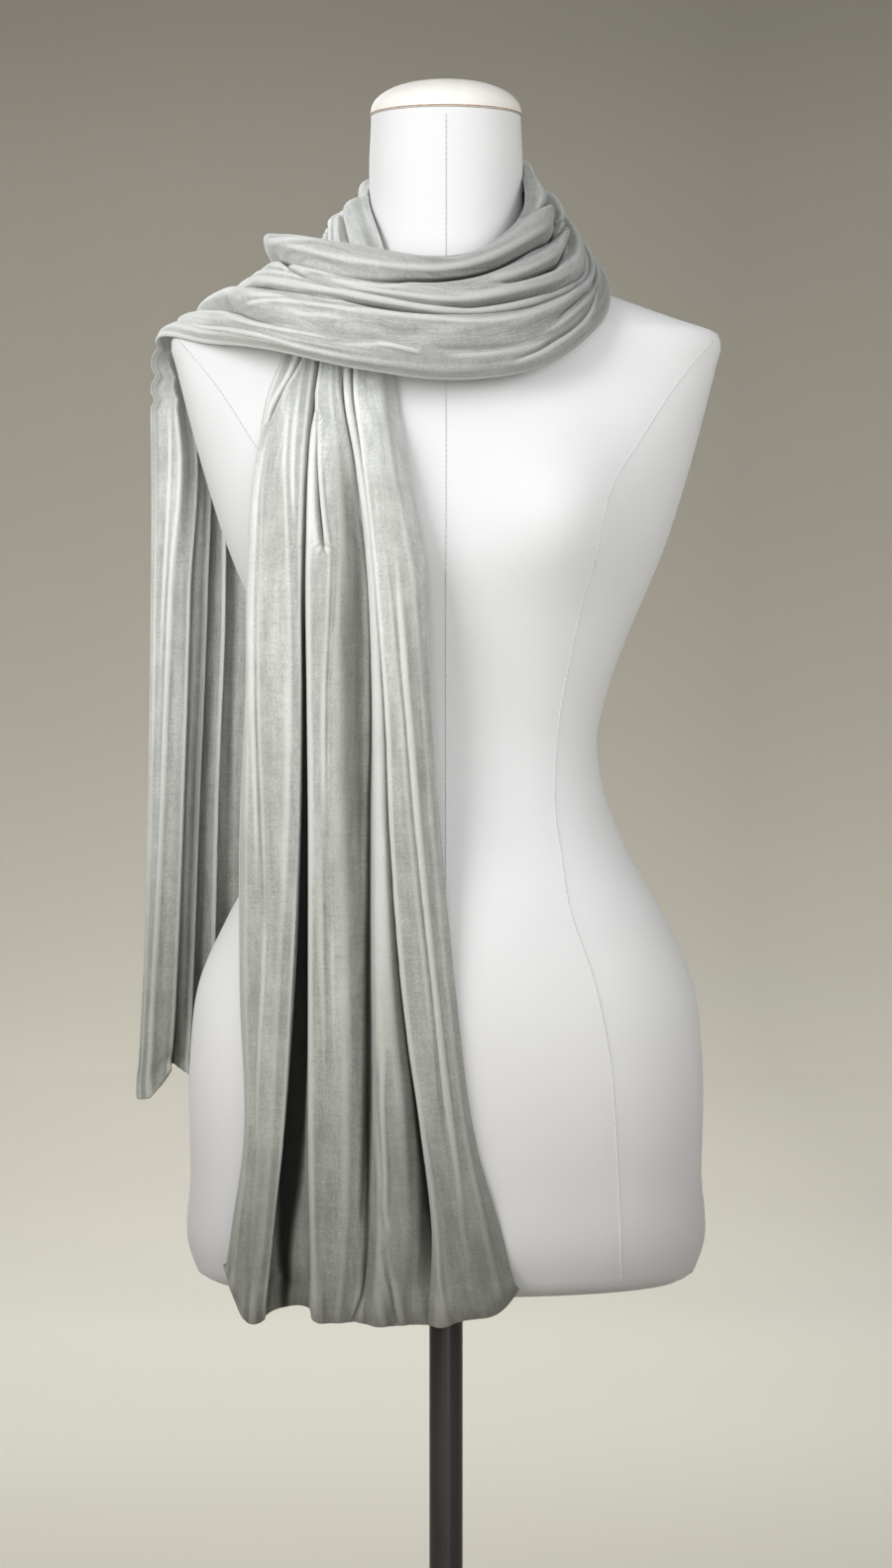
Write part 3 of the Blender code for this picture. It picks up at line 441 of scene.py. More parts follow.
# Seams of the form's cover: place to the right of the middle, and height, from the top down
SHOULDER_AND_PRINCESS_SEAM = (
    (181, 641), (168, 626), (153, 607), (129, 570), (111, 541), (103, 515), (100, 493), (90, 459),
    (83, 425), (76, 385), (73, 351), (73, 323), (76, 300), (82, 260), (98, 212), (108, 165), (113, 106),
    (116, 40), (117, 9),
)
BACK_PRINCESS_SEAM = (
    (150, 646), (128, 600), (104, 550), (86, 500), (68, 440), (56, 390), (54, 360), (62, 310), (82, 240),
    (96, 180), (102, 100), (104, 9),
)
MIDDLE_SEAM = (
    (0, 790), (0, 700), (0, 600), (0, 450), (0, 300), (0, 150), (0, 9),
)
SEAM_RADIUS = 0.22
SEAM_SIDES = 6
SEAM_STEP = 2.0
STITCH_STEP = 3.6
STITCH_RADIUS = 0.24
STITCH_SIDES = 5
STITCH_LIFT = 0.45

# The domed cap on the neck
CAP_HEIGHT = 24.0
CAP_RISE = 2.5
CAP_SIDES = 120
CAP_STEPS = 28
CAP_OVERHANG = 1.01
CAP_GAP = 0.3
CAP_CORD_RADIUS = 0.55

# Painted shade: the form's cover is a little darker towards its lower edge, where less light falls: metres
# above the floor, and tone
JERSEY_SHADE_TONES = (
    (0.64, (0.66, 0.645, 0.635)), (0.73, (0.8, 0.785, 0.775)), (0.84, (0.95, 0.945, 0.94)), (0.92, 1),
)

# Paper floor and backdrop in metres: half its width, where behind the object it starts to bend up, the
# bend's radius and steps, its top, half the width that shows in front, the run where its tone ends, and
# its tone by run, which is painted light and shade
PAPER_WIDE = 40.0
PAPER_BEND_AT = 7.6
PAPER_BEND = 1.6
PAPER_BEND_STEPS = 24
PAPER_TOP = 9.0
PAPER_SIDE = 3.0
PAPER_RUN = 13.0
PAPER_SHADE_TONES = (
    (0, (0.64, 0.62, 0.535)), (2.09, (0.594, 0.573, 0.492)), (2.57, (0.566, 0.551, 0.478)),
    (3.15, (0.535, 0.519, 0.452)), (3.69, (0.528, 0.516, 0.449)), (4.22, (0.493, 0.479, 0.417)),
    (4.71, (0.426, 0.41, 0.357)), (5.05, (0.396, 0.378, 0.329)), (5.43, (0.387, 0.369, 0.32)),
    (5.76, (0.4, 0.383, 0.33)), (6.12, (0.423, 0.404, 0.35)), (6.51, (0.455, 0.434, 0.378)),
    (6.94, (0.493, 0.472, 0.41)), (7.31, (0.532, 0.51, 0.443)), (7.6, (0.555, 0.533, 0.462)),
    (7.8, (0.539, 0.519, 0.447)), (7.94, (0.51, 0.491, 0.42)), (8.07, (0.489, 0.47, 0.403)),
    (8.2, (0.468, 0.448, 0.385)), (8.37, (0.442, 0.421, 0.365)), (8.57, (0.414, 0.396, 0.336)),
    (8.82, (0.387, 0.369, 0.309)), (9.12, (0.363, 0.339, 0.285)), (9.46, (0.336, 0.313, 0.267)),
    (9.84, (0.324, 0.298, 0.253)), (10.24, (0.305, 0.288, 0.244)), (10.66, (0.295, 0.278, 0.234)),
    (11.12, (0.293, 0.273, 0.232)), (11.55, (0.263, 0.247, 0.207)), (13, (0.25, 0.235, 0.195)),
)

# Area lights: place and target in metres, watts, size in metres, and spread in degrees
LIGHTS = {
    "key_left": ((-1.9, -2.0, 2.2), (0, 0, 1.45), 13.0, (1.4, 1.9), 72.0),
    "fill_right": ((2.3, -1.7, 2.2), (0.1, 0, 1.3), 3.4, (1.2, 1.2), 64.0),
    "fill_front": ((0.3, -3.4, 1.2), (0, 0, 1.45), 6.2, (1.8, 1.8), 58.0),
    "fill_back": ((-1.3, 3.6, 2.4), (0, 0, 1.2), 9.0, (1.8, 1.8), 64.0),
    "paper_glow": ((0.0, 3.4, 3.6), (0, 7.9, 0.6), 88.0, (3.0, 1.0), 90.0),
    "floor_glow_far": ((0.0, 3.4, 3.8), (0, 3.8, 0), 55.0, (4.0, 3.0), 84.0),
    "floor_glow_left": ((-9.5, 0.0, 7.0), (-10.45, 0, 0), 80.0, (8.0, 8.0), 110.0),
    "floor_glow_right": ((9.5, 0.0, 7.0), (10.45, 0, 0), 80.0, (8.0, 8.0), 110.0),
    "floor_glow_near": ((0.0, -10.0, 7.0), (0, -11.0, 0), 80.0, (8.0, 8.0), 110.0),
}
WORLD_TONE = (0.985, 0.985, 0.985, 1.0)
WORLD_STRENGTH = 0.36

# The camera, in millimetres and in the photograph's pixels
MM_PER_PIXEL = 0.68
CAMERA_AWAY = 2650.0
CAMERA_HEIGHT = 408.0
SENSOR_HEIGHT = 36.0
PICTURE_HEIGHT = 1582.0
HORIZON_BELOW_TOP = 690.0


def smooth(knots, values, at):
    """A smooth curve through values at knots, read at the places at. Values may have more columns."""
    knots = np.asarray(knots, float)
    values = np.asarray(values, float)
    at = np.clip(np.asarray(at, float), knots[0], knots[-1])
    steps = np.diff(knots)
    rises = np.diff(values, axis=0) / steps.reshape((-1,) + (1,) * (values.ndim - 1))
    slopes = np.empty_like(values)
    slopes[0], slopes[-1] = rises[0], rises[-1]
    share = (steps[:-1] / (steps[:-1] + steps[1:])).reshape((-1,) + (1,) * (values.ndim - 1))
    slopes[1:-1] = rises[:-1] * (1 - share) + rises[1:] * share
    i = np.clip(np.searchsorted(knots, at, side="right") - 1, 0, len(steps) - 1)
    t = ((at - knots[i]) / steps[i]).reshape(at.shape + (1,) * (values.ndim - 1))
    step = steps[i].reshape(t.shape)
    return (
        values[i] * (1 + 2 * t) * (1 - t) ** 2
        + values[i + 1] * t * t * (3 - 2 * t)
        + slopes[i] * step * t * (1 - t) ** 2
        - slopes[i + 1] * step * t * t * (1 - t)
    )


def unit(vectors):
    """The vectors at length 1."""
    return vectors / np.maximum(np.linalg.norm(vectors, axis=-1, keepdims=True), 1e-9)


# The dress form's skin, as a function
def form_size(height):
    """Half width, front, back and squareness of the form at these heights."""
    table = np.array(FORM_SECTIONS)
    return smooth(table[:, 0], table[:, 1:], height)


def bust(x, height):
    """How far the bust stands out of the front at x and height."""
    along = np.exp(-(((height - BUST_HEIGHT) / BUST_SPREAD_Z) ** 2))
    sides = sum(np.exp(-(((x - side * BUST_APART) / BUST_SPREAD_X) ** 2)) for side in (-1, 1))
    return BUST_RISE * along * sides


def outside(points):
    """Above 0 outside the form and below 0 inside it, growing with the distance from its skin."""
    x, y, z = points[..., 0], points[..., 1], points[..., 2]
    size = form_size(z)
    half, square = size[..., 0], size[..., 3]
    deep = np.where(y < 0, size[..., 1] + bust(x, z), size[..., 2])
    level = (np.abs(x) / half) ** square + (np.abs(y) / deep) ** square
    return (level ** (1 / square) - 1) * np.minimum(half, deep)


def keep_clear(points, clear):
    """Points that lie nearer than clear to the form, or in it, pushed out to that distance."""
    points = points.copy()
    step = 0.5
    for _ in range(8):
        value = outside(points)
        rises = [outside(points + step * axis) - outside(points - step * axis) for axis in np.eye(3)]
        slope = np.stack(rises, axis=-1) / (2 * step)
        size = np.maximum(np.linalg.norm(slope, axis=-1), 0.2)
        short = np.maximum(clear - value / size, 0)
        points += slope / size[..., None] * short[..., None]
    return points


# The ribbon, as a function
def station_places():
    """Each station's place along the scarf, in millimetres from the front hem."""
    rows = np.array(list(STATIONS.values()))
    middle = (rows[:, 0:3] + rows[:, 3:6]) / 2
    steps = np.linalg.norm(np.diff(middle, axis=0), axis=1)
    return dict(zip(STATIONS, np.concatenate([[0], np.cumsum(steps)])))


def ribbon(along):
    """The ribbon at these places: inner edge, width, normal and crown, and its fold lines and depths."""
    places = station_places()
    knots = list(places.values())
    table = np.array(list(STATIONS.values()))
    rows = smooth(knots, table, along)
    inner, outer, crown, fold = rows[:, 0:3], rows[:, 3:6], rows[:, 6], rows[:, 7]
    shares = np.array(list(FOLD_PLACES.values())) / 1000
    shares = smooth([places[name] for name in FOLD_PLACES], shares, along)
    depths = np.array(list(FOLD_DEPTHS.values())) / 100
    depths = smooth([places[name] for name in FOLD_DEPTHS], depths, along)
    ahead = smooth(knots, table[:, :6], along + 1.0)
    behind = smooth(knots, table[:, :6], along - 1.0)
    travel = unit(ahead[:, :3] + ahead[:, 3:] - behind[:, :3] - behind[:, 3:])
    width = outer - inner
    return inner, width, unit(np.cross(travel, width)), crown, shares, depths * fold[:, None]


def fold_section(shares, depths, across):
    """Share across and height of the folded cloth at the cloth's own places across, 0 to 1.

    Crests are round and valleys are tight, so each rise starts steeply at its lower line.
    """
    spans = shares.shape[1] - 1
    place = np.clip(across * spans, 0, spans - 1e-9)
    i = place.astype(int)
    t = place - i
    near, far = depths[:, i], depths[:, i + 1]
    climb = np.where(near < far, t, 1 - t)
    soft = (1 - np.cos(np.pi * climb)) / 2
    rise = (1 - ROUNDNESS) * soft + ROUNDNESS * np.sin(np.pi * climb / 2) ** FLATNESS
    height = np.minimum(near, far) + np.abs(far - near) * rise
    side = t + FOLD_FULLNESS * np.sin(2 * np.pi * t) / (2 * np.pi)
    return shares[:, i] + (shares[:, i + 1] - shares[:, i]) * side, height


# What the scene adds to the cloth's surface
def placed_creases(height, along, share, width):
    """Sink the placed creases into the height."""
    for points in CREASES.values():
        table = np.array(sorted(points), float)
        table[:, 1] /= 1000
        first, last = np.searchsorted(along, (table[0, 0], table[-1, 0]))
        if last - first < 2:
            continue
        centre, depth, near, far = smooth(table[:, 0], table[:, 1:], along[first:last]).T[:, :, None]
        away = (share[first:last] - centre) * width[first:last, None]
        wide = np.maximum(np.where(away < 0, near, far) * CREASE_WIDTH, CREASE_NARROWEST)
        deeper = np.minimum(np.abs(depth) * CREASE_GAIN, np.abs(depth) + CREASE_EXTRA)
        height[first:last] -= np.sign(depth) * deeper * np.exp(-((away / wide) ** 2))


def small_wrinkles(height, along, share, width, length):
    """Add the small wrinkles to the height."""
    rng = np.random.default_rng(WRINKLE_SEED)
    for _ in range(WRINKLES):
        start = rng.uniform(-60, length)
        end = start + rng.uniform(*WRINKLE_LENGTH)
        place = rng.uniform(0.02, 0.98)
        drift = rng.normal(0, WRINKLE_DRIFT)
        wide = rng.uniform(*WRINKLE_WIDTH)
        rise = rng.uniform(*WRINKLE_RISE) * rng.choice((-1, 1))
        first, last = np.searchsorted(along, (start, end))
        if last - first < 2:
            continue
        t = (along[first:last] - start) / (end - start)
        away = (share[first:last] - (place + drift * t)[:, None]) * width[first:last, None] / wide
        height[first:last] += rise * (np.sin(np.pi * t) ** 0.7)[:, None] * np.exp(-(away**2))


def hem_shape(along, share, width, length):
    """Lift of both hems' lines, and height of their puckers, for rows along and shares across."""
    lift = 0
    for line, to_hem in ((HEM_LINE, along), (BACK_HEM_LINE, length - along)):
        table = np.array(line)
        near = np.clip(1 - to_hem / HEM_REACH, 0, 1) ** 1.5
        lift = lift + smooth(table[:, 0], table[:, 1], np.clip(share, 0, 1)) * near[:, None]
    height = np.zeros_like(share)
    for place, wide, deep, up in PUCKERS:
        for centre, to_hem in ((place, along), (1 - place, length - along)):
            fade = np.exp(-((to_hem / up) ** 2) * 2)
            spread = wide * (0.7 + 0.6 * np.clip(to_hem / up, 0, 1))
            away = (share - centre) * width[:, None] / spread[:, None]
            height -= PUCKER_DEPTH * deep * fade[:, None] * np.exp(-(away**2))
    to_end = np.minimum(along, length - along)
    balloon = BALLOON * np.sin(np.pi * np.clip(to_end / BALLOON_REACH, 0, 1))
    balloon = balloon - END_TUCK * np.exp(-to_end / END_TUCK_REACH)
    return lift, height + balloon[:, None]


def even_columns(share, height, lift, width):
    """Each row's points again, evenly spaced along the folded cloth: CLOTH_COLUMNS steps across."""
    steps = np.hypot(np.diff(share, axis=1) * width[:, None], np.diff(height, axis=1))
    run = np.concatenate([np.zeros((len(share), 1)), np.cumsum(steps, axis=1)], axis=1)
    rows = []
    for i in range(len(share)):
        places = np.linspace(0, run[i, -1], CLOTH_COLUMNS + 1)
        rows.append([np.interp(places, run[i], values[i]) for values in (share, height, lift)])
    return np.array(rows).transpose(1, 0, 2)


def fold_shade_and_highlight(height, step):
    """How deep each point lies in a narrow valley, and how sharp a ridge it is on, both from 0 to 1: the
    strengths of the painted shade and of the painted highlight.
    """
    columns = np.arange(height.shape[1])

    def beside(shift):
        return height[:, np.clip(columns + shift, 0, columns[-1])]

    steep = VALLEY_STEEP * step[:, None]
    sides = [height, height]
    for shift in range(1, VALLEY_REACH + 1):
        sides[0] = np.maximum(sides[0], beside(shift) - steep * shift)
        sides[1] = np.maximum(sides[1], beside(-shift) - steep * shift)
    around = np.minimum(*sides)
    near = [beside(shift) for shift in (-RIDGE_NEAR[1], -RIDGE_NEAR[0], *RIDGE_NEAR)]
    ridge = (height - sum(near) / 4) / (sum(RIDGE_NEAR) / 2 * step[:, None])
    # Painted highlight along the outer edge, added to that of the ridges
    place, spread, share = EDGE_HIGHLIGHT
    edge = np.exp(-(((columns[-1] - columns) * step[:, None] - place) / spread) ** 2)
    ridge = np.maximum(np.clip(ridge / RIDGE_RISE, 0, 1), share * edge)
    return np.clip((around - height) / VALLEY_DEPTH, 0, 1), ridge


def dressed_surface(along, across):
    """The scarf's middle surface with all its relief, and the painted shade and highlight of its outer and
    inner faces.
    """
    length = station_places()["back_hem"]
    inner, width, normal, crown, shares, depths = ribbon(along)
    wide = np.linalg.norm(width, axis=1)
    share, height = fold_section(shares, depths, across)
    lift, pucker = hem_shape(along, share, wide, length)
    creased = np.zeros_like(share)
    placed_creases(creased, along, share, wide)
    small_wrinkles(creased, along, share, wide, length)
    height = height + crown[:, None] * 4 * share * (1 - share) + pucker + creased
    share, height, lift = even_columns(share, height, lift, wide)
    step = np.hypot(np.diff(share, axis=1) * wide[:, None], np.diff(height, axis=1)).mean(axis=1)
    points = inner[:, None] + width[:, None] * share[..., None] + normal[:, None] * height[..., None]
    near_end = np.clip(1 - np.minimum(along, length - along) / CORNER_REACH, 0, 1) ** 2
    points[..., 2] += CORNER_LIFT * near_end[:, None] * np.abs(2 * share - 1) ** CORNER_POWER + lift
    for row in PULLS:
        away = (points - row[:3]) / row[6:]
        points += np.exp(-(away**2).sum(axis=-1))[..., None] * row[3:6]
    # Spots of painted shade, and of painted highlight where below 0
    spot_shade = np.zeros_like(share)
    for place, centre, reach_along, reach_share, dark in SHADE_SPOTS:
        away = ((along - place) / reach_along)[:, None] ** 2 + ((share - centre) / reach_share) ** 2
        spot_shade += dark * np.exp(-away)
    # Painted shade in the valleys and painted highlight on the ridges, with the painted spots added
    valley, ridge = fold_shade_and_highlight(height, step)
    valley = np.clip(valley + np.maximum(spot_shade, 0), 0, 1)
    ridge = np.clip(ridge - np.minimum(spot_shade, 0), 0, 1)
    inner_valley, inner_ridge = fold_shade_and_highlight(-height, step)
    points = keep_clear(points, CLOTH_CLEAR + CLOTH_THICK / 2)
    return points, (valley, ridge), (inner_valley * INNER_VALLEY, inner_ridge)


# Blender objects
def new_object(name, points, faces, material, replaced=()):
    """A smooth mesh piece in metres that rides on the root and stands for the CAD nodes replaced."""
    mesh = bpy.data.meshes.new(name)
    mesh.from_pydata(points, [], faces)
    mesh.shade_smooth()
    mesh.update()
    mesh.materials.append(material)
    obj = bpy.data.objects.new(name, mesh)
    bpy.context.scene.collection.objects.link(obj)
    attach(obj, "root")
    if replaced:
        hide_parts(*replaced)
    return obj


def loop_faces(rows, count):
    """Quads between rows of count vertices each, every row a closed loop."""
    start = np.arange(rows - 1)[:, None] * count
    here = np.arange(count)[None, :]
    after = (here + 1) % count
    quads = np.stack([start + here, start + after, start + count + after, start + count + here], axis=-1)
    return quads.reshape(-1, 4)


def closed_faces(rows, count):
    """The same quads, and a face over each end."""
    ends = [list(range(count))[::-1], [(rows - 1) * count + i for i in range(count)]]
    return loop_faces(rows, count).tolist() + ends


def stack(points):
    """Points in millimetres above the form's edge, as a list of points in metres above the floor."""
    return ((np.asarray(points).reshape(-1, 3) + (0, 0, FORM_BOTTOM)) * MM).tolist()


def end_faces(steps, count, columns):
    """Faces between the outer and the inner side at both ends of a stretch of cloth."""
    ends = [(c, c + 1, 2 * columns - c - 1, 2 * columns - c) for c in range(columns - 1)]
    ends += [(columns - 1, columns, columns + 1), (2 * columns, count - 1, 0)]
    near = [list(face) for face in ends]
    far = [[steps * count + c for c in reversed(face)] for face in ends]
    return near + far


def build_scarf(material):
    """The stretches of cloth, each a closed thin shell with its own normals, UV map, and painted shade and
    highlight.
    """
    places = station_places()
    rows = [np.linspace(places[a], places[b], n + 1) for a, b, n, _, _ in STRETCHES.values()]
    along = np.concatenate([rows[0]] + [r[1:] for r in rows[1:]])
    middle, outside_shade_and_highlight, inside_shade_and_highlight = dressed_surface(along, np.linspace(0, 1, FINE_COLUMNS + 1))
    normal = unit(np.cross(np.gradient(middle, along, axis=0), np.gradient(middle, axis=1)))
    outer = middle + normal * CLOTH_THICK / 2
    inner = middle - normal * CLOTH_THICK / 2
    side = unit(np.gradient(middle, axis=1))
    far_rim = middle[:, -1:] + side[:, -1:] * CLOTH_THICK * RIM_BULGE
    near_rim = middle[:, :1] - side[:, :1] * CLOTH_THICK * RIM_BULGE
    loops = np.concatenate([outer, far_rim, inner[:, ::-1], near_rim], axis=1)
    shading = np.concatenate([normal, side[:, -1:], -normal[:, ::-1], -side[:, :1]], axis=1)
    # The painted shade of the valleys and the painted highlight of the ridges, stored on the mesh
    pile = {
        kind: np.concatenate([seen, seen[:, -1:], hidden[:, ::-1], seen[:, :1]], axis=1)
        for kind, seen, hidden in zip(("valley", "ridge"), outside_shade_and_highlight, inside_shade_and_highlight)
    }
    across = np.linspace(0, 1, CLOTH_COLUMNS + 1)
    across = np.concatenate([across, [1.0], across[::-1], [0.0]]) * UV_WIDTH
    count = loops.shape[1]
    first = 0
    for name, (start, end, steps, flat_width, node) in STRETCHES.items():
        shown = slice(first, first + steps + 1)
        caps = end_faces(steps, count, CLOTH_COLUMNS + 1)
        faces = loop_faces(steps + 1, count)[:, ::-1].tolist() + caps
        obj = new_object(name, stack(loops[shown]), faces, material, (node,))
        mesh = obj.data
        vertices = np.empty(len(mesh.loops), np.int32)
        mesh.loops.foreach_get("vertex_index", vertices)
        coords = np.stack(np.broadcast_arrays(across[None, :], along[shown, None] * MM), axis=-1)
        layer = mesh.uv_layers.new(name="cloth")
        layer.data.foreach_set("uv", coords.reshape(-1, 2)[vertices].astype(np.float32).ravel())
        normals = shading[shown].reshape(-1, 3)[vertices]
        normals[len(normals) - sum(len(face) for face in caps) :] = 0
        mesh.normals_split_custom_set(normals.tolist())
        for kind, values in pile.items():
            layer = mesh.attributes.new(kind, "FLOAT", "POINT")
            layer.data.foreach_set("value", values[shown].astype(np.float32).ravel())
        first += steps


def form_ring(height, sides):
    """A ring of points on the form's skin."""
    half, front, back, square = form_size(height)
    turn = np.linspace(0, 2 * np.pi, sides, endpoint=False)
    x = half * np.sign(np.cos(turn)) * np.abs(np.cos(turn)) ** (2 / square)
    y = np.sign(np.sin(turn)) * np.abs(np.sin(turn)) ** (2 / square)
    y = np.where(y < 0, y * (front + bust(x, height)), y * back)
    return np.stack([x, y, np.full(sides, float(height))], axis=1)


def build_form(material):
    """The form's cover, with rings evenly spaced along its outline."""
    fine = np.linspace(0, FORM_SECTIONS[-1][0], 1600)
    half = form_size(fine)[:, 0]
    run = np.concatenate([[0], np.cumsum(np.hypot(np.diff(fine), np.diff(half)))])
    heights = np.interp(np.arange(0, run[-1], FORM_RING_STEP), run, fine)
    heights = np.append(heights[:-1], fine[-1])
    rings = np.array([form_ring(height, FORM_SIDES) for height in heights])
    faces = closed_faces(len(rings), FORM_SIDES)
    obj = new_object("form_cover", stack(rings), faces, material, ("form_torso",))
    obj.data.set_sharp_from_angle(angle=math.radians(SHARP_ANGLE))


def form_skin(x, height, back):
    """A point of the form's skin at x and height, in front or behind."""
    size = form_size(height)
    half, square = size[..., 0], size[..., 3]
    deep = size[..., 2] if back else size[..., 1] + bust(x, height)
    share = (1 - np.clip(np.abs(x) / half, 0, 0.999) ** square) ** (1 / square)
    y = deep * share * (1 if back else -1)
    return np.stack([x, y, height], axis=-1)


def tube_along(path, radius, sides):
    """Points and faces of a closed tube along a path."""
    ahead = unit(np.gradient(path, axis=0))
    spare = np.where(np.abs(ahead[:, 2:3]) > 0.9, (1.0, 0, 0), (0, 0, 1.0))
    first = unit(np.cross(ahead, spare))
    second = np.cross(ahead, first)
    turn = np.linspace(0, 2 * np.pi, sides, endpoint=False)[None, :, None]
    ring = np.cos(turn) * first[:, None] + np.sin(turn) * second[:, None]
    points = path[:, None] + ring * radius
    return points.reshape(-1, 3), closed_faces(len(path), sides)


def even_path(points, step):
    """A path's points again, step apart along it."""
    run = np.concatenate([[0], np.cumsum(np.linalg.norm(np.diff(points, axis=0), axis=1))])
    places = np.linspace(0, run[-1], max(int(run[-1] / step), 2) + 1)
    return np.stack([np.interp(places, run, points[:, axis]) for axis in range(3)], axis=1)


def seam_paths():
    """The seams of the form's cover, as paths on its skin."""
    paths = []
    for table, back, mirrored in (
        (SHOULDER_AND_PRINCESS_SEAM, False, True),
        (BACK_PRINCESS_SEAM, True, True),
        (MIDDLE_SEAM, False, False),
        (MIDDLE_SEAM, True, False),
    ):
        rows = np.array(table)
        knots = np.concatenate([[0], np.cumsum(np.hypot(*np.diff(rows, axis=0).T))])
        line = smooth(knots, rows, np.linspace(0, knots[-1], 300))
        for side in (1, -1) if mirrored else (1,):
            paths.append(even_path(form_skin(line[:, 0] * side, line[:, 1], back), SEAM_STEP))
    return paths


def join_tubes(name, tubes, material):
    """One piece of many tubes."""
    points, faces, offset = [], [], 0
    for tube_points, tube_faces in tubes:
        points.append(tube_points)
        faces += [[i + offset for i in face] for face in tube_faces]
        offset += len(tube_points)
    new_object(name, stack(np.concatenate(points)), faces, material)


def build_seams(line_material, stitch_material):
    """Each seam as a thin raised line with stitches on it."""
    lines, stitches = [], []
    for path in seam_paths():
        lines.append(tube_along(path, SEAM_RADIUS, SEAM_SIDES))
        fine = even_path(path, STITCH_STEP / 3)
        for i in range(0, len(fine) - 3, 3):
            dash = fine[i : i + 3]
            out = 1 + STITCH_LIFT / np.maximum(np.hypot(dash[:, 0], dash[:, 1]), 20)
            stitches.append(tube_along(dash * out[:, None] ** (1, 1, 0), STITCH_RADIUS, STITCH_SIDES))
    join_tubes("form_seam_lines", lines, line_material)
    join_tubes("form_seam_stitches", stitches, stitch_material)


def build_cap(material, seam_material):
    """The domed cap, and the cord round its lower edge."""
    ring = form_ring(FORM_SECTIONS[-1][0], CAP_SIDES)
    base = ring * (CAP_OVERHANG, CAP_OVERHANG, 1) + (0, 0, CAP_GAP)
    rings = [base * (0.985, 0.985, 1), base]
    for step in range(CAP_STEPS):
        turn = math.pi / 2 * step / CAP_STEPS
        wide = math.cos(turn) ** 0.8
        height = CAP_RISE + (CAP_HEIGHT - CAP_RISE) * math.sin(turn)
        rings.append(base * (wide, wide, 1) + (0, 0, height))
    faces = closed_faces(len(rings), CAP_SIDES)
    obj = new_object("cap_cover", stack(rings), faces, material, ("form_neck_cap",))
    obj.data.set_sharp_from_angle(angle=math.radians(SHARP_ANGLE))
    ring = ring * (1.012, 1.012, 1) + (0, 0, 1.2)
    points, faces = tube_along(np.concatenate([ring, ring[:1]]), CAP_CORD_RADIUS, SEAM_SIDES)
    new_object("cap_seam", stack(points), faces, seam_material)


def build_stand(material):
    """Paint the stand's solids, which stay as they are."""
    for name in ("stand_foot", "stand_collar", "stand_pole", "stand_flange"):
        mesh = bpy.data.objects[name].data
        for index in range(len(mesh.materials)):
            mesh.materials[index] = material
        if not mesh.materials:
            mesh.materials.append(material)


# Materials
class Material:
    """A new material with a shader, and short ways to add nodes to it."""

    def __init__(self, name):
        self.made = bpy.data.materials.new(name)
        self.made.use_nodes = True
        self.nodes = self.made.node_tree.nodes
        self.shader = self.nodes["Principled BSDF"]

    def feed(self, node, values):
        """Link the outputs among these values to the node's inputs of their names, and set the others."""
        for name, value in values.items():
            if isinstance(value, bpy.types.NodeSocket):
                self.made.node_tree.links.new(value, node.inputs[name])
            else:
                node.inputs[name].default_value = value

    def add(self, kind, output, values):
        """An output of a new node that is fed these values."""
        node = self.nodes.new(kind)
        self.feed(node, values)
        return node.outputs[output]

    def object_place(self):
        return self.nodes.new("ShaderNodeTexCoord").outputs["Object"]

    def uv_place(self, name):
        node = self.nodes.new("ShaderNodeUVMap")
        node.uv_map = name
        return node.outputs["UV"]

    def attribute(self, name):
        node = self.nodes.new("ShaderNodeAttribute")
        node.attribute_name = name
        return node.outputs["Fac"]

    def axis(self, source, axis):
        return self.add("ShaderNodeSeparateXYZ", axis, {"Vector": source})

    def from_range(self, source, low, high):
        """The source's place between low and high, from 0 to 1."""
        values = {"From Min": low, "From Max": high, "Value": source}
        return self.add("ShaderNodeMapRange", "Result", values)

    def noise(self, source, scale, stretch=(1.0, 1.0, 1.0), detail=3.0, roughness=0.55):
        """Noise of a scale, stretched along the source's axes."""
        place = self.add("ShaderNodeMapping", "Vector", {"Scale": stretch, "Vector": source})
        values = {"Scale": scale, "Detail": detail, "Roughness": roughness, "Vector": place}
        return self.add("ShaderNodeTexNoise", "Fac", values)

    def ramp(self, source, *stops):
        """Colours between stops, each a place and a colour. A colour given as one number is a grey."""
        node = self.nodes.new("ShaderNodeValToRGB")
        self.feed(node, {"Fac": source})
        full = [(place, tone if isinstance(tone, tuple) else (tone, tone, tone)) for place, tone in stops]
        elements = node.color_ramp.elements
        elements[0].position = full[0][0]
        elements[0].color = (*full[0][1], 1)
        elements[1].position = full[-1][0]
        elements[1].color = (*full[-1][1], 1)
        for place, tone in full[1:-1]:
            elements.new(place).color = (*tone, 1)
        return node.outputs["Color"]

    def mix(self, share, first, second, kind="MIX"):
        node = self.nodes.new("ShaderNodeMix")
        node.data_type = "RGBA"
        node.blend_type = kind
        self.feed(node, {"Factor": share, "A": first, "B": second})
        return node.outputs["Result"]

    def times(self, first, *others):
        """Colours multiplied with each other."""
        for other in others:
            first = self.mix(1.0, first, other, "MULTIPLY")
        return first

    def bump(self, height, strength, distance, **under):
        """A normal with this relief on it, over the Normal under it."""
        values = {"Strength": strength, "Distance": distance, "Height": height, **under}
        return self.add("ShaderNodeBump", "Normal", values)


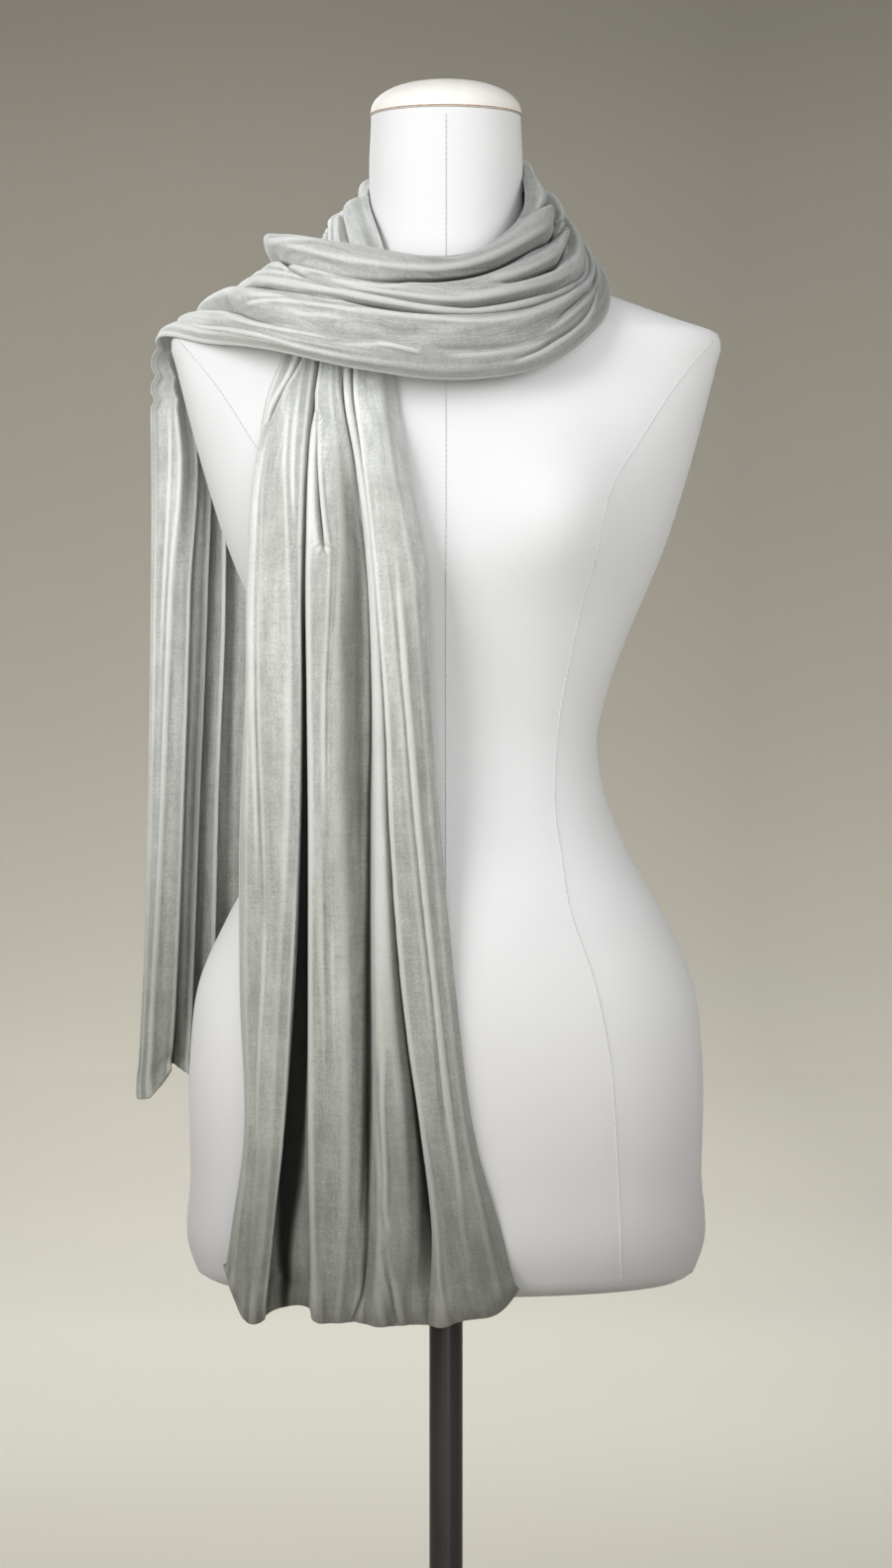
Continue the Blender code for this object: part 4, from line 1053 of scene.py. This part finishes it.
def velvet_material():
    """Short shiny pile: patches where the nap lies another way, streaks along the cloth, and fine pile,
    with painted sheen, glints and highlights, and painted shade in the valleys and towards both hanging
    ends.
    """
    velvet = Material("velvet")
    source = velvet.uv_place("cloth")
    patches = velvet.noise(source, 24.0, (1.0, 0.22, 1.0), 4.0, 0.62)
    mottles = velvet.noise(source, 62.0, (1.0, 0.55, 1.0), 5.0, 0.68)
    streaks = velvet.noise(source, 170.0, (1.0, 0.05, 1.0), 5.0, 0.65)
    frost = velvet.noise(source, 420.0, (1.0, 0.45, 1.0), 5.0, 0.75)
    pile = velvet.noise(source, 850.0, (1.0, 0.75, 1.0), 2.0, 0.6)
    rows = velvet.noise(source, 340.0, (0.12, 1.0, 1.0), 3.0, 0.6)
    colour = velvet.times(
        velvet.ramp(patches, (0.32, (0.425, 0.437, 0.408)), (0.68, (0.59, 0.602, 0.582))),
        velvet.ramp(mottles, (0.34, 0.86), (0.66, 1.14)),
        velvet.ramp(streaks, (0.32, 0.85), (0.70, 1.13)),
        velvet.ramp(pile, (0.34, 0.84), (0.68, 1.16)),
        velvet.ramp(rows, (0.34, 0.94), (0.68, 1.06)),
    )
    facing = velvet.add("ShaderNodeLayerWeight", "Facing", {"Blend": 0.5})
    # Where the painted glints show: frost flecks within the paler patches
    glint_flecks = velvet.ramp(frost, (0.44, 0.0), (0.66, 1.0))
    shown = velvet.ramp(patches, (0.42, 0.05), (0.60, 0.46))
    for share in (
        # Painted sheen, silver at grazing angles
        velvet.ramp(facing, (0.5, 0.0), (0.95, 0.62)),
        # Painted glints
        velvet.times(glint_flecks, shown),
        # Painted highlight on the ridges
        velvet.ramp(velvet.attribute("ridge"), (0.2, 0.0), (0.95, 0.7)),
    ):
        colour = velvet.mix(share, colour, SHEEN_SILVER)
    # Painted shade along the scarf, darker towards both hanging ends
    shade_place = velvet.from_range(velvet.axis(source, "Y"), 0.0, SHADE_ALONG_LENGTH)
    colour = velvet.times(
        colour,
        # Painted shade in the valleys
        velvet.ramp(velvet.attribute("valley"), *VALLEY_SHADE_TONES),
        velvet.ramp(shade_place, *SHADE_ALONG),
    )
    coarse = velvet.bump(streaks, 0.30, 0.0008)
    fine = velvet.bump(frost, 0.45, 0.0007, Normal=coarse)
    velvet.feed(velvet.shader, {
        "Base Color": colour,
        "Roughness": velvet.ramp(frost, (0.3, 0.50), (0.7, 0.85)),
        "Specular IOR Level": 0.15,
        "Sheen Weight": 0.28,
        "Sheen Roughness": 0.4,
        "Sheen Tint": (0.93, 0.97, 0.95, 1.0),
        "Normal": velvet.bump(pile, 0.5, 0.0004, Normal=fine),
    })
    return velvet.made


def jersey_material():
    """Tight fine jersey over the form, with painted shade towards its lower edge."""
    jersey = Material("form jersey")
    source = jersey.object_place()
    tone = jersey.noise(source, 7.0)
    knit = jersey.noise(source, 900.0, (1.0, 1.0, 0.6), 2.0)
    colour = jersey.ramp(tone, (0.3, (0.68, 0.68, 0.688)), (0.7, (0.72, 0.72, 0.726)))
    # Painted shade, darker towards the lower edge
    lower_shade = jersey.ramp(jersey.axis(source, "Z"), *JERSEY_SHADE_TONES)
    jersey.feed(jersey.shader, {
        "Base Color": jersey.times(colour, lower_shade),
        "Roughness": jersey.ramp(tone, (0.3, 0.62), (0.7, 0.72)),
        "Specular IOR Level": 0.15,
        "Sheen Weight": 0.15,
        "Normal": jersey.bump(knit, 0.12, 0.0003),
    })
    return jersey.made


def cloth_material(name, low, high, roughness, grain):
    """A plain matt cloth or thread with a little grain."""
    cloth = Material(name)
    tone = cloth.noise(cloth.object_place(), grain)
    cloth.feed(cloth.shader, {
        "Base Color": cloth.ramp(tone, (0.3, low), (0.7, high)),
        "Roughness": roughness,
        "Normal": cloth.bump(tone, 0.15, 0.0003),
    })
    return cloth.made


def steel_material():
    """Black satin paint with faint mottling."""
    steel = Material("black satin paint")
    source = steel.object_place()
    tone = steel.noise(source, 30.0, (1.0, 1.0, 0.3), 4.0)
    grain = steel.noise(source, 700.0, detail=2.0)
    steel.feed(steel.shader, {
        "Base Color": steel.ramp(tone, (0.3, (0.014, 0.013, 0.012)), (0.7, (0.024, 0.021, 0.019))),
        "Roughness": steel.ramp(tone, (0.3, 0.34), (0.7, 0.46)),
        "Normal": steel.bump(grain, 0.08, 0.0002),
    })
    return steel.made


def paper_material():
    """Paper with painted light and shade: its tone follows its run, and turns a little darker to the right
    of the middle.
    """
    paper = Material("backdrop")
    source = paper.uv_place("run")
    run = paper.from_range(paper.axis(source, "Y"), 0.0, PAPER_RUN)
    across = paper.from_range(paper.axis(source, "X"), -PAPER_SIDE, PAPER_SIDE)
    tone = paper.noise(paper.object_place(), 0.5, detail=2.0)
    # Painted light and shade: tone by run, darker right of the middle and paler at the sides
    colour = paper.times(
        paper.ramp(run, *((place / PAPER_RUN, colour) for place, colour in PAPER_SHADE_TONES)),
        paper.ramp(tone, (0.3, 0.98), (0.7, 1.02)),
        paper.ramp(across, (0.0, 1.3), (0.3, 1.06), (0.65, 0.88), (1.0, 1.3)),
    )
    paper.feed(paper.shader, {"Base Color": colour, "Roughness": 0.95})
    return paper.made


# Floor, light and camera
def build_stage(material):
    """A wide pale paper floor that sweeps up far behind the object."""
    profile = [(-PAPER_WIDE, 0.0)]
    for turn in np.linspace(0, math.pi / 2, PAPER_BEND_STEPS):
        bent = (PAPER_BEND_AT + PAPER_BEND * math.sin(turn), PAPER_BEND - PAPER_BEND * math.cos(turn))
        profile.append(bent)
    profile.append((PAPER_BEND_AT + PAPER_BEND, PAPER_TOP))
    runs = [-PAPER_WIDE]
    for near, far in zip(profile, profile[1:]):
        runs.append(runs[-1] + math.dist(near, far))
    points = [(x, y, z) for y, z in profile for x in (-PAPER_WIDE, PAPER_WIDE)]
    faces = [(2 * i, 2 * i + 1, 2 * i + 3, 2 * i + 2) for i in range(len(profile) - 1)]
    mesh = bpy.data.meshes.new("backdrop")
    mesh.from_pydata(points, [], faces)
    mesh.shade_smooth()
    layer = mesh.uv_layers.new(name="run")
    for loop in mesh.loops:
        layer.data[loop.index].uv = (points[loop.vertex_index][0], runs[loop.vertex_index // 2])
    mesh.materials.append(material)
    obj = bpy.data.objects.new("backdrop", mesh)
    bpy.context.scene.collection.objects.link(obj)


def build_light():
    """The area lights, and a weak even light from everywhere."""
    for name, (place, target, power, size, spread) in LIGHTS.items():
        light = bpy.data.lights.new(name, "AREA")
        light.shape = "RECTANGLE"
        light.size, light.size_y = size
        light.energy = power
        light.spread = math.radians(spread)
        obj = bpy.data.objects.new(name, light)
        obj.location = place
        obj.rotation_mode = "QUATERNION"
        obj.rotation_quaternion = (Vector(target) - Vector(place)).to_track_quat("-Z", "Y")
        bpy.context.scene.collection.objects.link(obj)
    world = bpy.data.worlds.new("studio")
    bpy.context.scene.world = world
    world.use_nodes = True
    background = world.node_tree.nodes["Background"]
    background.inputs["Color"].default_value = WORLD_TONE
    background.inputs["Strength"].default_value = WORLD_STRENGTH
    bpy.context.scene.view_settings.view_transform = "Standard"


def build_camera():
    """The camera in front, a little above the waist's height and looking slightly down."""
    camera = bpy.data.cameras.new("camera")
    camera.sensor_fit = "VERTICAL"
    camera.sensor_height = SENSOR_HEIGHT
    camera.lens = SENSOR_HEIGHT * CAMERA_AWAY / MM_PER_PIXEL / PICTURE_HEIGHT
    obj = bpy.data.objects.new("camera", camera)
    down = math.atan((PICTURE_HEIGHT / 2 - HORIZON_BELOW_TOP) * MM_PER_PIXEL / CAMERA_AWAY)
    obj.location = (0, -CAMERA_AWAY * MM, (FORM_BOTTOM + CAMERA_HEIGHT) * MM)
    obj.rotation_euler = (math.pi / 2 - down, 0, 0)
    bpy.context.scene.collection.objects.link(obj)
    bpy.context.scene.camera = obj


def main():
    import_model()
    build_camera()
    build_stand(steel_material())
    build_form(jersey_material())
    build_seams(
        cloth_material("seam line", (0.68, 0.68, 0.69), (0.74, 0.74, 0.75), 0.7, 300.0),
        cloth_material("seam stitches", (0.48, 0.46, 0.45), (0.62, 0.60, 0.59), 0.6, 500.0),
    )
    build_cap(
        cloth_material("cap cloth", (0.74, 0.72, 0.685), (0.80, 0.78, 0.745), 0.6, 60.0),
        cloth_material("cap seam", (0.30, 0.19, 0.13), (0.52, 0.40, 0.31), 0.7, 260.0),
    )
    build_scarf(velvet_material())
    build_stage(paper_material())
    build_light()


main()
